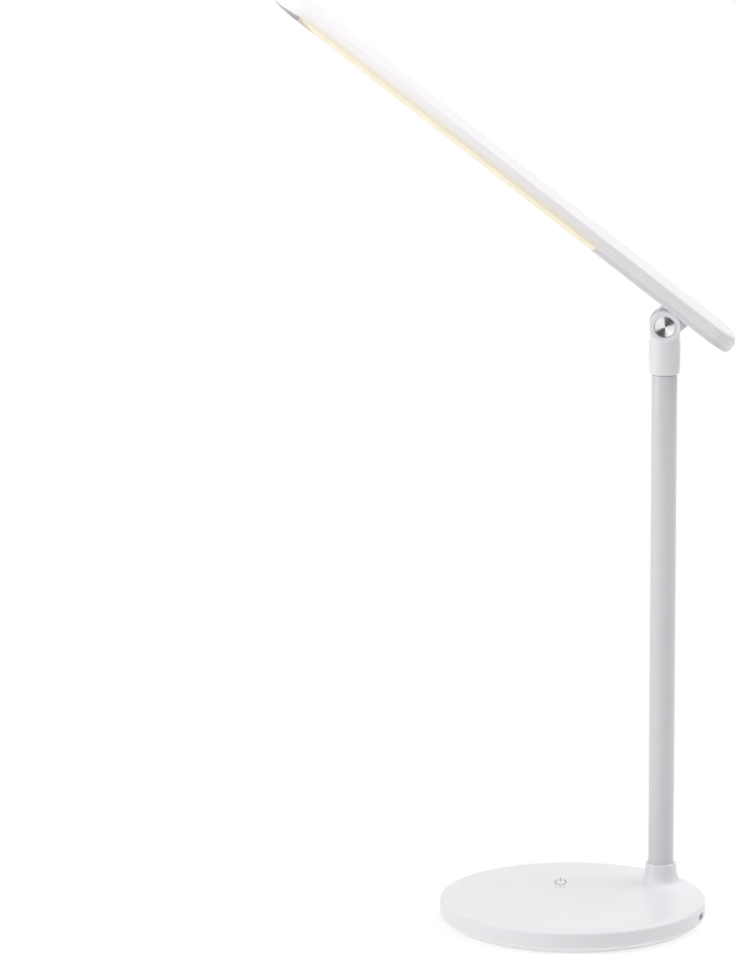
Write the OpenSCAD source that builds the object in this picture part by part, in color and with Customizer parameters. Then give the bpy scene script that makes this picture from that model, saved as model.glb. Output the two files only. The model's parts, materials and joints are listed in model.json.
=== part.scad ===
// Folding table lamp: a round weighted base, a slim stem at its right rear, a knuckle that
// swivels on top of the stem, and a long flat head that tilts on the knuckle.
// Millimetres, Z up. The origin is the centre of the base on the desk.
// The front of the base faces -Y. The head points to -X and is drawn raised by head_tilt.

/* [Base] */
// Width of the round base across its widest ring
base_d = 146; // [140:1:160]
// Height of the flat top of the base above the desk
base_h = 13.4; // [13:0.1:16]
// Thickness of the top of the base cover
base_wall = 2; // [1.6:0.1:2.4]
// Thickness of the steel ballast plate
ballast_t = 3.2; // [2.6:0.1:3.6]
// Angle of the charging socket round the base, from +X toward the rear
usb_angle = -14; // [-16:1:-8]

/* [Stem] */
// Outside diameter of the stem tube
stem_d = 14; // [13:0.5:16]
// Wall thickness of the stem tube
stem_wall = 1; // [0.8:0.1:1.2]
// Distance from the rim of the base to the axis of the stem
stem_inset = 15; // [14:0.5:22]
// Angle of the stem round the base, from +X toward the rear
stem_angle = 33; // [26:1:38]
// Height of the collar above the top of the base
collar_h = 11.2; // [6:0.1:16]

/* [Hinge] */
// Height of the tilt axis above the desk
pivot_h = 327.4; // [260:0.1:420]
// Angle of the head above level, as drawn
head_tilt = 38; // [-60:0.5:75]
// Thickness of the lug between the ears of the knuckle
lug_t = 4.5; // [4:0.5:7]
// Diameter of the hinge bolt
bolt_d = 4; // [3:0.5:4.5]

/* [Head] */
// Length of the head
head_len = 313; // [280:1:360]
// Width of the head
head_w = 34; // [34:1:46]
// Thickness of the head
head_t = 9.8; // [9:0.1:13]
// Distance from the tilt axis to the rear end of the head
head_rear = 36.4; // [32:0.1:46]
// Distance from the tilt axis to the start of the diffuser
lens_start = 57.5; // [46:0.5:80]
// Height of the lower pieces of the head, the diffuser among them
lens_h = 2.7; // [2:0.1:3]
// Wall thickness of the head shell
shell_wall = 1.6; // [1.2:0.1:2]
// Number of lamp chips in each of the two rows
led_count = 24; // [12:1:32]

/* [Fits] */
// Radial clearance of a turning shaft in its bore
run_gap = 0.05; // [0.03:0.01:0.08]
// Radial clearance of a fixed pin or plug in its bore
fit_gap = 0.05; // [0.03:0.01:0.08]
// Clearance between moulded edges that meet side by side
edge_gap = 0.2; // [0.1:0.05:0.3]

/* [Hidden] */
$fn = 96;
// Base
base_r = base_d / 2;
pad_r = base_r - 13;
pad_t = 1.2;
floor_low = 0.6;
floor_top = 3;
seam_z = 4.6;
lip_h = 2;
cover_in_r = base_r - 2.3;
lip_out_r = cover_in_r - edge_gap;
lip_in_r = lip_out_r - 1.2;
cover_in_z = base_h - base_wall;
collar_root = 0.7 * base_wall;
// Flare of the collar: how far it stands out from the stem, and at what share of the collar's height
collar_flare = [[5.5, 0], [4.3, 0.05], [3.45, 0.14], [2.7, 0.28], [2.05, 0.48], [1.65, 0.7]];
ballast_r = base_r - 6;
ballast_top = floor_top + ballast_t;
base_screw_r = base_r - 13;
base_screw_angles = [75, 165, 255, 330];
screw_r = 1.45;
screw_head_r = 2.8;
screw_head_h = 1.4;
boss_r = 4;
root = 0.5;
// Control board, hung from posts under the cover, below the touch mark
board_size = [44, 24, 1.2];
touch_x = -7;
touch_y = 33;
board_top = cover_in_z - 2.2;
board_low = board_top - board_size[2];
post_edge = 3;
post_pitch = board_size[0] - 2 * post_edge;
post_r = 2.4;
touch_r = 6;
small_screw_r = 0.95;
small_screw_len = 2.2;
small_head_r = 1.8;
small_head_h = 1.2;
// Flat cell, with the sealed strip along one short end
battery_size = [56, 40, 4];
battery_x = -20;
battery_y = -20;
battery_seal = 4;
battery_step = 0.6;
// Charging socket and its small board, in a frame whose X points out of the base
usb_z = 7.3;
usb_w = 8.94;
usb_t = 3.26;
usb_skin = 0.25;
usb_slot_gap = 0.15;
usb_tongue_w = 6.7;
usb_tongue_t = 0.7;
usb_len = 7.3;
usb_front = base_r - 1.8;
usb_board_t = 1;
usb_board_w = 18;
usb_board_top = usb_z - usb_t / 2;
usb_board_low = usb_board_top - usb_board_t;
usb_board_len = 18.6;
usb_board_out = base_r - 4.4;
usb_board_in = usb_board_out - usb_board_len;
usb_post_x = usb_board_in + 5;
usb_post_y = 6;
usb_post_r = 2.2;
// Stem
stem_out = base_r - stem_inset;
stem_x = stem_out * cos(stem_angle);
stem_y = stem_out * sin(stem_angle);
stem_r = stem_d / 2;
stem_bore_r = stem_r - stem_wall;
foot_t = 2.5;
foot_r = 12;
foot_top = ballast_top + foot_t;
plug_r = stem_bore_r - fit_gap;
plug_h = 18;
lead_hole_r = 2.2;
lead_r = 1.6;
lead_bend = 2.6;
lead_stop = 5;
lead_z = floor_top + lead_r;
lead_up_x = touch_x + board_size[0] / 4;
lead_slot_w = 5.2;
foot_screw_r = 9.5;
foot_screw_len = 5;
foot_screw_angles = [stem_angle + 180, stem_angle + 70, stem_angle + 290];
grub_r = 1;
grub_angle = stem_angle + 110;
grub_z = foot_top + 1.2;
// Knuckle, measured from the tilt axis
under_z = stem_r + 2.2;
barrel_r = stem_r + 1.6;
boss_disc_r = stem_r + 1.5;
lug_r = boss_disc_r - 0.3;
slot_floor = lug_r + 0.6;
neck_low = 27;
neck_full = 13.9;
bush_lip_t = 0.5;
bush_lip_r = stem_r - 0.4;
slide_gap = 0.1;
stem_top = pivot_h - neck_low - slide_gap - bush_lip_t;
bush_len = 18.4;
spigot_r = stem_bore_r - 1.5;
thread_r = spigot_r - 0.6;
neck_bore_r = 2.2;
shoulder_low = neck_low + slide_gap + bush_lip_t + bush_len + slide_gap;
nut_h = 4.4;
thread_len = nut_h + 0.6;
nut_out_r = stem_bore_r - 0.5;
// Hinge, measured across from the middle of the lug
bolt_r = bolt_d / 2;
washer_t = 0.5;
slot_half = lug_t / 2 + slide_gap + washer_t;
washer_out_r = lug_r - 1.8;
seat_y = slot_half + 2.65;
spring_t = 0.6;
bolt_head_h = 1.3;
bolt_head_r = bolt_r * 1.8;
hex_nut_h = 1.8;
hex_nut_r = bolt_r * 2.02;
cap_seat_y = seat_y + 2;
cap_t = 1.6;
cap_r = boss_disc_r - 2.7;
cap_hole_r = cap_r + 0.1;
boss_y = cap_seat_y + 1.95;
// Head, measured from the tilt axis with the head level
head_half = head_w / 2;
head_front = head_len - head_rear;
tip_x = head_half - head_front;
part_z = under_z + lens_h;
head_top = under_z + head_t;
shell_in_z = head_top - shell_wall;
shell_in_y = head_half - shell_wall;
rear_r = head_half - 1;
rear_x = head_rear - rear_r;
top_round = 2.2;
nose_up = 5.4;
nose_low = 4.4;
nose_wall = shell_wall + 1.6;
low_round = 0.8;
tip_run = head_half - 1.5;
tip_edge = 0.3;
tip_fall = lens_h - tip_edge;
tongue_h = 1.2;
tongue_t = 1.6;
shell_step = 0.4;
tongue_y = shell_in_y - edge_gap;
cover_x = rear_x - 2;
lens_skin = 1.5;
lens_wall = 1.3;
lens_slant = 1.8;
lens_joint = -lens_start - 1;
flange_t = 2;
flange_edge = 4.5;
flange_top = part_z + flange_t;
lug_front = -lug_r + 0.3;
lug_back = under_z + 1.2;
lug_screw_x = [-15, 17];
lug_screw_y = 8.5;
lug_screw_r = 1.2;
lug_screw_head_r = 2.2;
lug_screw_head_h = 1.1;
lug_boss_r = 2.6;
led_board_t = 1.2;
led_board_front = tip_x + 4;
led_board_back = -lens_start - 5;
led_board_y = shell_in_y - 2.4;
led_z = shell_in_z - led_board_t;
led_size = [2.8, 3.5, 0.8];
led_margin = 6;
head_lead_r = 1;
head_lead_stop = 12;

// Places children on the stem axis at desk height
module at_stem() {
  translate([stem_x, stem_y, 0]) children();
}

// Places children on the tilt axis with the knuckle upright
module at_pivot() {
  translate([stem_x, stem_y, pivot_h]) children();
}

// Places children on the tilt axis with the head raised
module at_head() {
  at_pivot() rotate([0, head_tilt, 0]) children();
}

// Places children at the charging socket with X pointing out of the base
module at_usb() {
  rotate([0, 0, usb_angle]) children();
}

// A ring about Z, or a disc when the inner radius is nothing
module ring(outer, inner, h) {
  difference() {
    cylinder(r = outer, h = h);
    if (inner > 0) translate([0, 0, -1]) cylinder(r = inner, h = h + 2);
  }
}

// Turns children so that their Z runs along Y
module along_y() {
  rotate([-90, 0, 0]) children();
}

// A flat shape drawn in X and Z, spread evenly to both sides of Y = 0
module slab_y(w) {
  translate([0, w / 2, 0]) rotate([90, 0, 0]) linear_extrude(w) children();
}

// A section drawn in Y and Z, drawn out from x0 to x1
module slab_x(x0, x1) {
  translate([x0, 0, 0]) rotate([90, 0, 90]) linear_extrude(x1 - x0) children();
}

// Outline of a flat slot with round ends, as points
function slot_outline(w, t, n) = concat(
  [for (i = [0:n]) [w / 2 - t / 2 + t / 2 * cos(-90 + 180 * i / n), t / 2 * sin(-90 + 180 * i / n)]],
  [for (i = [0:n]) [-w / 2 + t / 2 + t / 2 * cos(90 + 180 * i / n), t / 2 * sin(90 + 180 * i / n)]]);

// Right half of a bar section from z0 to z1 with rounded lower and upper edges, without the axis
function edge_points(r, z0, z1, low, up) = concat(
  low > 0 ? [for (i = [0:4]) [r - low + low * sin(22.5 * i), z0 + low - low * cos(22.5 * i)]] : [[r, z0]],
  up > 0 ? [for (i = [0:6]) [r - up + up * cos(15 * i), z1 - up + up * sin(15 * i)]] : [[r, z1]]);
function half_section(r, z0, z1, low, up) = concat([[0, z0]], edge_points(r, z0, z1, low, up), [[0, z1]]);
function mirrored(p) = [for (i = [len(p) - 1:-1:0]) [-p[i][0], p[i][1]]];
function full_section(r, z0, z1, low, up) = concat(
  edge_points(r, z0, z1, low, up), mirrored(edge_points(r, z0, z1, low, up)));

// Straight run of the head between x0 and x1
module bar_run(x0, x1, z0, z1, low, up) {
  slab_x(x0, x1) polygon(full_section(head_half, z0, z1, low, up));
}

// Round front end of the head
module bar_tip(z0, z1, low, up) {
  translate([tip_x, 0, 0]) rotate([0, 0, 90])
    rotate_extrude(angle = 180) polygon(half_section(head_half, z0, z1, low, up));
}

// Room of the tip cover, under a plane that falls from the lower edge of the shell to the underside
module tip_room() {
  slab_y(head_w + 2) polygon([[tip_x + 1, under_z - 1], [tip_x + 1, part_z + tip_fall / tip_run],
    [tip_x - tip_run, under_z + tip_edge], [tip_x - tip_run, under_z - 1]]);
}

// Rear end of the head with its two rounded corners
module bar_rear(z0, z1, low, up) {
  side = head_half - rear_r;
  translate([rear_x, 0, 0]) slab_y(2 * side) polygon(half_section(rear_r, z0, z1, low, up));
  translate([rear_x, side, 0])
    rotate_extrude(angle = 90) polygon(half_section(rear_r, z0, z1, low, up));
  translate([rear_x, -side, 0]) rotate([0, 0, -90])
    rotate_extrude(angle = 90) polygon(half_section(rear_r, z0, z1, low, up));
}

// Takes the upper and the lower corner off the rear end, so that it is round in side view
module nose_cut() {
  for (s = [[nose_up, head_top - nose_up, 1], [nose_low, under_z + nose_low, -1]])
    difference() {
      translate([head_rear - s[0], -head_half - 1, s[2] > 0 ? s[1] : s[1] - s[0] - 1])
        cube([s[0] + 1, head_w + 2, s[0] + 1]);
      translate([head_rear - s[0], -head_half - 2, s[1]]) along_y() cylinder(r = s[0], h = head_w + 4);
    }
}

// Upper moulding of the base with the collar that steadies the stem
module base_cover() {
  color([0.95, 0.95, 0.94])
  difference() {
    union() {
      rotate_extrude() polygon([
        [cover_in_r, seam_z], [base_r - 0.3, seam_z], [base_r, seam_z + 0.3], [base_r, base_h - 2],
        [base_r - 0.15, base_h - 1.4], [base_r - 0.45, base_h - 0.95], [base_r - 0.95, base_h - 0.6],
        [base_r - 1.8, base_h - 0.35], [base_r - 3.4, base_h - 0.15], [base_r - 6.6, base_h],
        [0, base_h], [0, cover_in_z], [base_r - 6, cover_in_z], [base_r - 3.6, cover_in_z - 0.5],
        [cover_in_r, cover_in_z - 1.6]]);
      at_stem() rotate_extrude() polygon(concat(
        [[4, base_h - collar_root], [stem_r + collar_flare[0][0], base_h - collar_root]],
        [for (p = collar_flare) [stem_r + p[0], base_h - 0.05 + p[1] * collar_h]],
        [[stem_r + 1.4, base_h + collar_h - 0.6], [stem_r + 1, base_h + collar_h],
        [4, base_h + collar_h]]));
      for (a = base_screw_angles) rotate([0, 0, a]) translate([base_screw_r, 0, ballast_top])
        cylinder(r = boss_r, h = cover_in_z + root - ballast_top);
      for (s = [-1, 1]) translate([touch_x + s * post_pitch / 2, touch_y, board_top])
        cylinder(r = post_r, h = cover_in_z + root - board_top);
    }
    at_stem() translate([0, 0, cover_in_z - 1])
      cylinder(r = stem_r + fit_gap, h = collar_h + base_wall + 2);
    for (a = base_screw_angles) rotate([0, 0, a]) translate([base_screw_r, 0, ballast_top - 1])
      cylinder(r = screw_r + fit_gap, h = cover_in_z - ballast_top + 0.6);
    for (s = [-1, 1]) translate([touch_x + s * post_pitch / 2, touch_y, board_top - 1])
      cylinder(r = small_screw_r + fit_gap, h = cover_in_z - board_top + 1.4);
    at_usb() translate([0, 0, usb_z]) slab_x(base_r - 4, base_r + 2)
      polygon(slot_outline(usb_w + 2 * usb_slot_gap, usb_t + 2 * usb_slot_gap, 8));
  }
}

// Lower moulding of the base, with the recess for the pad and the lip that centres the cover
module base_floor() {
  color([0.93, 0.93, 0.92])
  difference() {
    union() {
      rotate_extrude() polygon([
        [0, pad_t], [pad_r + edge_gap, pad_t], [pad_r + edge_gap, floor_low], [base_r - 5, floor_low],
        [base_r - 4.5, floor_low + 0.15], [base_r - 0.4, seam_z - 0.5], [base_r - 0.6, seam_z],
        [lip_out_r, seam_z], [lip_out_r, seam_z + lip_h], [lip_in_r, seam_z + lip_h],
        [lip_in_r, floor_top], [0, floor_top]]);
      at_usb() for (s = [-1, 1]) translate([usb_post_x, s * usb_post_y, floor_top - root])
        cylinder(r = usb_post_r, h = usb_board_low - floor_top + root);
    }
    for (a = base_screw_angles) rotate([0, 0, a]) translate([base_screw_r, 0, 0]) {
      cylinder(r = screw_r + edge_gap, h = floor_top + 1);
      translate([0, 0, pad_t])
        cylinder(r1 = screw_head_r + fit_gap, r2 = screw_r + fit_gap, h = screw_head_h);
    }
    at_usb() for (s = [-1, 1]) translate([usb_post_x, s * usb_post_y, pad_t + 0.8])
      cylinder(r = small_screw_r + fit_gap, h = 6);
    at_usb() translate([base_r - 6, -usb_board_w / 2 - 1, seam_z]) cube([5.4, usb_board_w + 2, 4]);
  }
}

// Soft pad that the lamp stands on, covering the screws
module anti_slip_pad() {
  color([0.3, 0.3, 0.32]) cylinder(r = pad_r, h = pad_t);
}

// Steel plate that keeps the lamp upright, notched for the socket board and slotted for the lead
module ballast_plate() {
  color([0.55, 0.56, 0.58])
  translate([0, 0, floor_top])
  difference() {
    cylinder(r = ballast_r, h = ballast_t);
    for (a = base_screw_angles) rotate([0, 0, a]) translate([base_screw_r, 0, -1])
      cylinder(r = screw_r + edge_gap, h = ballast_t + 2);
    at_usb() translate([usb_board_in - 1, -usb_board_w / 2 - 1, -1])
      cube([base_r, usb_board_w + 2, ballast_t + 2]);
    translate([lead_up_x - lead_slot_w, stem_y - lead_slot_w / 2, -1])
      cube([stem_x - lead_up_x + 1.8 * lead_slot_w, lead_slot_w, ballast_t + 2]);
    at_stem() for (a = foot_screw_angles) rotate([0, 0, a]) translate([foot_screw_r, 0, -1])
      cylinder(r = lug_screw_r + fit_gap, h = ballast_t + 2);
  }
}

// Four countersunk screws through the floor and the ballast into the cover
module base_screws() {
  color([0.7, 0.7, 0.72])
  for (a = base_screw_angles) rotate([0, 0, a]) translate([base_screw_r, 0, pad_t])
    rotate_extrude() polygon([[0, 0], [screw_head_r, 0], [screw_r, screw_head_h],
      [screw_r, cover_in_z - pad_t - 1.2], [0, cover_in_z - pad_t - 1.2]]);
}

// Flat rechargeable cell taped to the ballast
module battery_pack() {
  color([0.75, 0.76, 0.8])
  translate([battery_x - battery_size[0] / 2, battery_y - battery_size[1] / 2, ballast_top])
  difference() {
    cube(battery_size);
    translate([-1, -1, battery_size[2] - battery_step])
      cube([battery_seal + 1, battery_size[1] + 2, battery_step + 1]);
  }
}

// Driver board under the touch mark, with its parts on the lower face
module control_board() {
  color([0.12, 0.4, 0.25])
  translate([touch_x, touch_y, 0]) difference() {
    union() {
      translate([-board_size[0] / 2, -board_size[1] / 2, board_low]) cube(board_size);
      translate([-9, 1, board_low - 1]) cube([7, 7, 1.2]);
      translate([2, 2, board_low - 0.9]) cube([4, 5, 1.1]);
      translate([-12, -8, board_low - 0.8]) cube([3, 2, 1]);
      translate([-6, -8, board_low - 0.8]) cube([3, 2, 1]);
    }
    for (s = [-1, 1]) translate([s * post_pitch / 2, 0, board_low - 1])
      cylinder(r = small_screw_r + fit_gap, h = 4);
  }
}

// Conductive pad that carries the touch from the cover to the board
module touch_contact() {
  color([0.25, 0.25, 0.27])
  translate([touch_x, touch_y, board_top]) cylinder(r = touch_r, h = cover_in_z - board_top);
}

// Small board that carries the charging socket
module charge_board() {
  color([0.12, 0.4, 0.25])
  at_usb() difference() {
    translate([usb_board_in, -usb_board_w / 2, usb_board_low])
      cube([usb_board_out - usb_board_in, usb_board_w, usb_board_t]);
    for (s = [-1, 1]) translate([usb_post_x, s * usb_post_y, usb_board_low - 1])
      cylinder(r = small_screw_r + fit_gap, h = 4);
  }
}

// Charging socket: a metal shell with a contact tongue inside
module usb_socket() {
  color([0.7, 0.7, 0.72])
  at_usb() translate([0, 0, usb_z]) {
    difference() {
      slab_x(usb_front - usb_len, usb_front) polygon(slot_outline(usb_w, usb_t, 8));
      slab_x(usb_front - usb_len + 1.2, usb_front + 1)
        polygon(slot_outline(usb_w - 2 * usb_skin, usb_t - 2 * usb_skin, 8));
    }
    translate([usb_front - usb_len + 1, -usb_tongue_w / 2, -usb_tongue_t / 2])
      cube([usb_len - 1.8, usb_tongue_w, usb_tongue_t]);
  }
}

// One small round-headed screw, head up, seated at z = 0
module small_screw() {
  rotate_extrude() polygon([[0, -small_screw_len], [small_screw_r, -small_screw_len], [small_screw_r, 0],
    [small_head_r, 0], [small_head_r, 0.7], [small_head_r * 0.6, small_head_h], [0, small_head_h]]);
}

// Four small screws, two for each board
module board_screws() {
  color([0.7, 0.7, 0.72]) {
    at_usb() for (s = [-1, 1]) translate([usb_post_x, s * usb_post_y, usb_board_top]) small_screw();
    for (s = [-1, 1]) translate([touch_x + s * post_pitch / 2, touch_y, board_low])
      rotate([180, 0, 0]) small_screw();
  }
}

// Steel foot: a flange on the ballast with a plug that fills the lower end of the stem
module stem_foot() {
  color([0.6, 0.6, 0.62])
  difference() {
    union() {
      intersection() {
        at_stem() translate([0, 0, ballast_top]) cylinder(r = foot_r, h = foot_t);
        cylinder(r = ballast_r, h = foot_top + 1);
      }
      at_stem() translate([0, 0, ballast_top + 0.5]) cylinder(r = plug_r, h = plug_h);
    }
    at_stem() translate([0, 0, ballast_top - 1]) cylinder(r = lead_hole_r, h = plug_h + 4);
    at_stem() for (a = foot_screw_angles) rotate([0, 0, a]) translate([foot_screw_r, 0, ballast_top - 1])
      cylinder(r = lug_screw_r + fit_gap, h = foot_t + 2);
    at_stem() translate([0, 0, grub_z]) rotate([0, 90, grub_angle])
      cylinder(r = grub_r + fit_gap, h = stem_r + 1);
  }
}

// Three screws that hold the foot to the ballast
module foot_screws() {
  color([0.7, 0.7, 0.72])
  at_stem() for (a = foot_screw_angles) rotate([0, 0, a]) translate([foot_screw_r, 0, foot_top])
    rotate_extrude() polygon([[0, -foot_screw_len], [lug_screw_r, -foot_screw_len], [lug_screw_r, 0],
      [lug_screw_head_r, 0], [lug_screw_head_r, 0.9], [lug_screw_head_r * 0.6, 1.5], [0, 1.5]]);
}

// Set screw that locks the stem to the plug of the foot
module stem_grub_screw() {
  color([0.25, 0.25, 0.27])
  at_stem() translate([0, 0, grub_z]) rotate([0, 90, grub_angle])
    translate([0, 0, lead_hole_r + 0.8]) cylinder(r = grub_r, h = stem_r - lead_hole_r - 0.9);
}

// Slim stem tube
module stem_tube() {
  color([0.88, 0.88, 0.88])
  difference() {
    at_stem() translate([0, 0, foot_top]) ring(stem_r, stem_bore_r, stem_top - foot_top);
    at_stem() translate([0, 0, grub_z]) rotate([0, 90, grub_angle])
      cylinder(r = grub_r + fit_gap, h = stem_r + 1);
  }
}

// Lead from the control board through the ballast slot and up the stem
module stem_lead() {
  color([0.9, 0.9, 0.9]) {
    translate([lead_up_x, stem_y, lead_z + lead_bend])
      cylinder(r = lead_r, h = board_low - lead_z - lead_bend);
    translate([lead_up_x + lead_bend, stem_y, lead_z + lead_bend]) rotate([90, 0, 0]) rotate([0, 0, 180])
      rotate_extrude(angle = 90) translate([lead_bend, 0]) circle(r = lead_r);
    translate([lead_up_x + lead_bend, stem_y, lead_z]) rotate([0, 90, 0])
      cylinder(r = lead_r, h = stem_x - lead_up_x - 2 * lead_bend);
    translate([stem_x - lead_bend, stem_y, lead_z + lead_bend]) rotate([90, 0, 0]) rotate([0, 0, 270])
      rotate_extrude(angle = 90) translate([lead_bend, 0]) circle(r = lead_r);
    translate([stem_x, stem_y, lead_z + lead_bend])
      cylinder(r = lead_r, h = pivot_h - shoulder_low - nut_h - lead_stop - lead_z - lead_bend);
  }
}

// Nylon bush in the top of the stem, with the thin lip that the knuckle turns on
module swivel_bush() {
  color([0.85, 0.85, 0.83])
  at_stem() translate([0, 0, stem_top - bush_len]) difference() {
    union() {
      cylinder(r = stem_bore_r - fit_gap, h = bush_len + 0.2);
      translate([0, 0, bush_len]) cylinder(r = bush_lip_r, h = bush_lip_t);
    }
    translate([0, 0, -1]) cylinder(r = spigot_r + run_gap, h = bush_len + 3);
  }
}

// Knuckle: a barrel with a spigot below and two ears above, each with a round boss for a cap
module knuckle() {
  color([0.93, 0.93, 0.92])
  at_pivot() difference() {
    union() {
      rotate_extrude() polygon([
        [0, -shoulder_low - thread_len], [thread_r, -shoulder_low - thread_len], [thread_r, -shoulder_low],
        [spigot_r, -shoulder_low], [spigot_r, -neck_low], [barrel_r - 0.7, -neck_low],
        [barrel_r - 0.5, -neck_low + 0.3], [barrel_r - 0.15, -(neck_low + neck_full) / 2],
        [barrel_r, -neck_full], [barrel_r, 0], [0, 0]]);
      along_y() translate([0, 0, -boss_y]) rotate_extrude() polygon([
        [0, 0], [boss_disc_r - 0.5, 0], [boss_disc_r, 0.5], [boss_disc_r, 2 * boss_y - 0.5],
        [boss_disc_r - 0.5, 2 * boss_y], [0, 2 * boss_y]]);
    }
    translate([-2 * barrel_r, -slot_half, -slot_floor]) cube([4 * barrel_r, 2 * slot_half, 4 * barrel_r]);
    along_y() translate([0, 0, -boss_y - 1]) cylinder(r = bolt_r + fit_gap, h = 2 * boss_y + 2);
    for (s = [0, 180]) rotate([0, 0, s]) along_y() translate([0, 0, cap_seat_y])
      cylinder(r = cap_hole_r, h = 5);
    along_y() translate([0, 0, -cap_seat_y - 1])
      cylinder(r = bolt_head_r + edge_gap, h = cap_seat_y - seat_y + 1);
    along_y() translate([0, 0, seat_y]) rotate([0, 0, 30]) cylinder(r = hex_nut_r + 0.1, h = 5, $fn = 6);
    translate([0, 0, -shoulder_low - 2 * thread_len])
      cylinder(r = neck_bore_r, h = shoulder_low + 2 * thread_len);
  }
}

// Nut that keeps the spigot of the knuckle in the bush
module swivel_nut() {
  color([0.6, 0.6, 0.62])
  at_pivot() translate([0, 0, -shoulder_low - nut_h]) ring(nut_out_r, thread_r + fit_gap, nut_h);
}

// Hinge bolt: the head sits in the front ear and the shank crosses the lug
module hinge_bolt() {
  color([0.6, 0.6, 0.62])
  at_pivot() along_y() translate([0, 0, -seat_y - spring_t - bolt_head_h]) difference() {
    union() {
      cylinder(r = bolt_head_r, h = bolt_head_h);
      cylinder(r = bolt_r, h = bolt_head_h + spring_t + 2 * seat_y + hex_nut_h);
    }
    translate([0, 0, -1]) cylinder(r = bolt_r * 0.6, h = 1.8, $fn = 6);
  }
}

// Hexagon nut in the rear ear
module hinge_nut() {
  color([0.6, 0.6, 0.62])
  at_pivot() along_y() translate([0, 0, seat_y]) difference() {
    rotate([0, 0, 30]) cylinder(r = hex_nut_r, h = hex_nut_h, $fn = 6);
    translate([0, 0, -1]) cylinder(r = bolt_r + fit_gap, h = hex_nut_h + 2);
  }
}

// Spring washer under the bolt head that loads the friction washers
module spring_washer() {
  color([0.5, 0.5, 0.52])
  at_pivot() along_y() translate([0, 0, -seat_y - spring_t]) ring(bolt_head_r, bolt_r + fit_gap, spring_t);
}

// Two friction washers, one on each side of the lug
module friction_washers() {
  color([0.35, 0.33, 0.3])
  at_pivot() for (s = [0, 180]) rotate([0, 0, s]) along_y() translate([0, 0, slot_half - washer_t])
    ring(washer_out_r, bolt_r + fit_gap, washer_t);
}

// Two turned metal caps that hide the bolt head and the nut
module hinge_caps() {
  color([0.8, 0.8, 0.82])
  at_pivot() for (s = [0, 180]) rotate([0, 0, s]) along_y() translate([0, 0, cap_seat_y])
    rotate_extrude() polygon([[0, 0], [cap_r, 0], [cap_r, cap_t - 0.3], [cap_r - 0.3, cap_t],
      [cap_r - 0.8, cap_t], [0, cap_t - 0.3]]);
}

// Lug of the head: a tongue that hangs between the ears, with a flange inside the head
module hinge_lug() {
  color([0.55, 0.55, 0.57])
  at_head() difference() {
    union() {
      slab_y(lug_t) polygon([[lug_front, -1.9], [lug_r - 0.4, -1.5], [lug_back, under_z],
        [lug_back, part_z + 0.5], [lug_front, part_z + 0.5]]);
      along_y() translate([0, 0, -lug_t / 2]) cylinder(r = lug_r, h = lug_t);
      translate([lug_screw_x[0] - flange_edge, -lug_screw_y - flange_edge, part_z])
        cube([lug_screw_x[1] - lug_screw_x[0] + 2 * flange_edge, 2 * (lug_screw_y + flange_edge),
          flange_t]);
    }
    along_y() translate([0, 0, -lug_t]) cylinder(r = bolt_r + run_gap, h = 2 * lug_t);
    for (x = lug_screw_x, s = [-1, 1]) translate([x, s * lug_screw_y, part_z - 1])
      cylinder(r = lug_screw_r + fit_gap, h = flange_t + 2);
  }
}

// Four countersunk screws through the under cover and the flange into the shell
module lug_screws() {
  color([0.7, 0.7, 0.72])
  at_head() for (x = lug_screw_x, s = [-1, 1]) translate([x, s * lug_screw_y, under_z])
    rotate_extrude() polygon([[0, 0], [lug_screw_head_r, 0], [lug_screw_r, lug_screw_head_h],
      [lug_screw_r, shell_in_z - under_z - 0.6], [0, shell_in_z - under_z - 0.6]]);
}

// Lower cover of the rear part of the head, with the slot for the lug
module under_cover() {
  color([0.93, 0.93, 0.92])
  at_head() difference() {
    union() {
      bar_run(lens_joint - 0.6, rear_x, under_z, part_z, low_round, 0);
      difference() {
        bar_rear(under_z, part_z, low_round, 0);
        nose_cut();
      }
      for (s = [-1, 1])
        translate([-lens_start + 3, s * (tongue_y - tongue_t / 2) - tongue_t / 2, part_z - shell_step])
          cube([cover_x + lens_start - 3, tongue_t, tongue_h + shell_step]);
    }
    translate([lug_front - edge_gap, -lug_t / 2 - edge_gap, under_z - 1])
      cube([lug_back - lug_front + 2 * edge_gap, lug_t + 2 * edge_gap, lens_h + 2]);
    for (x = lug_screw_x, s = [-1, 1]) translate([x, s * lug_screw_y, 0]) {
      translate([0, 0, under_z - 1]) cylinder(r = lug_screw_r + edge_gap, h = lens_h + 2);
      translate([0, 0, under_z])
        cylinder(r1 = lug_screw_head_r + fit_gap, r2 = lug_screw_r + fit_gap, h = lug_screw_head_h);
    }
    slab_y(head_w + 4) polygon([[lens_joint - 4, under_z - 1], [lens_joint, under_z - 1],
      [lens_joint + lens_slant, part_z + 0.01], [lens_joint - 4, part_z + 0.01]]);
  }
}

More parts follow.
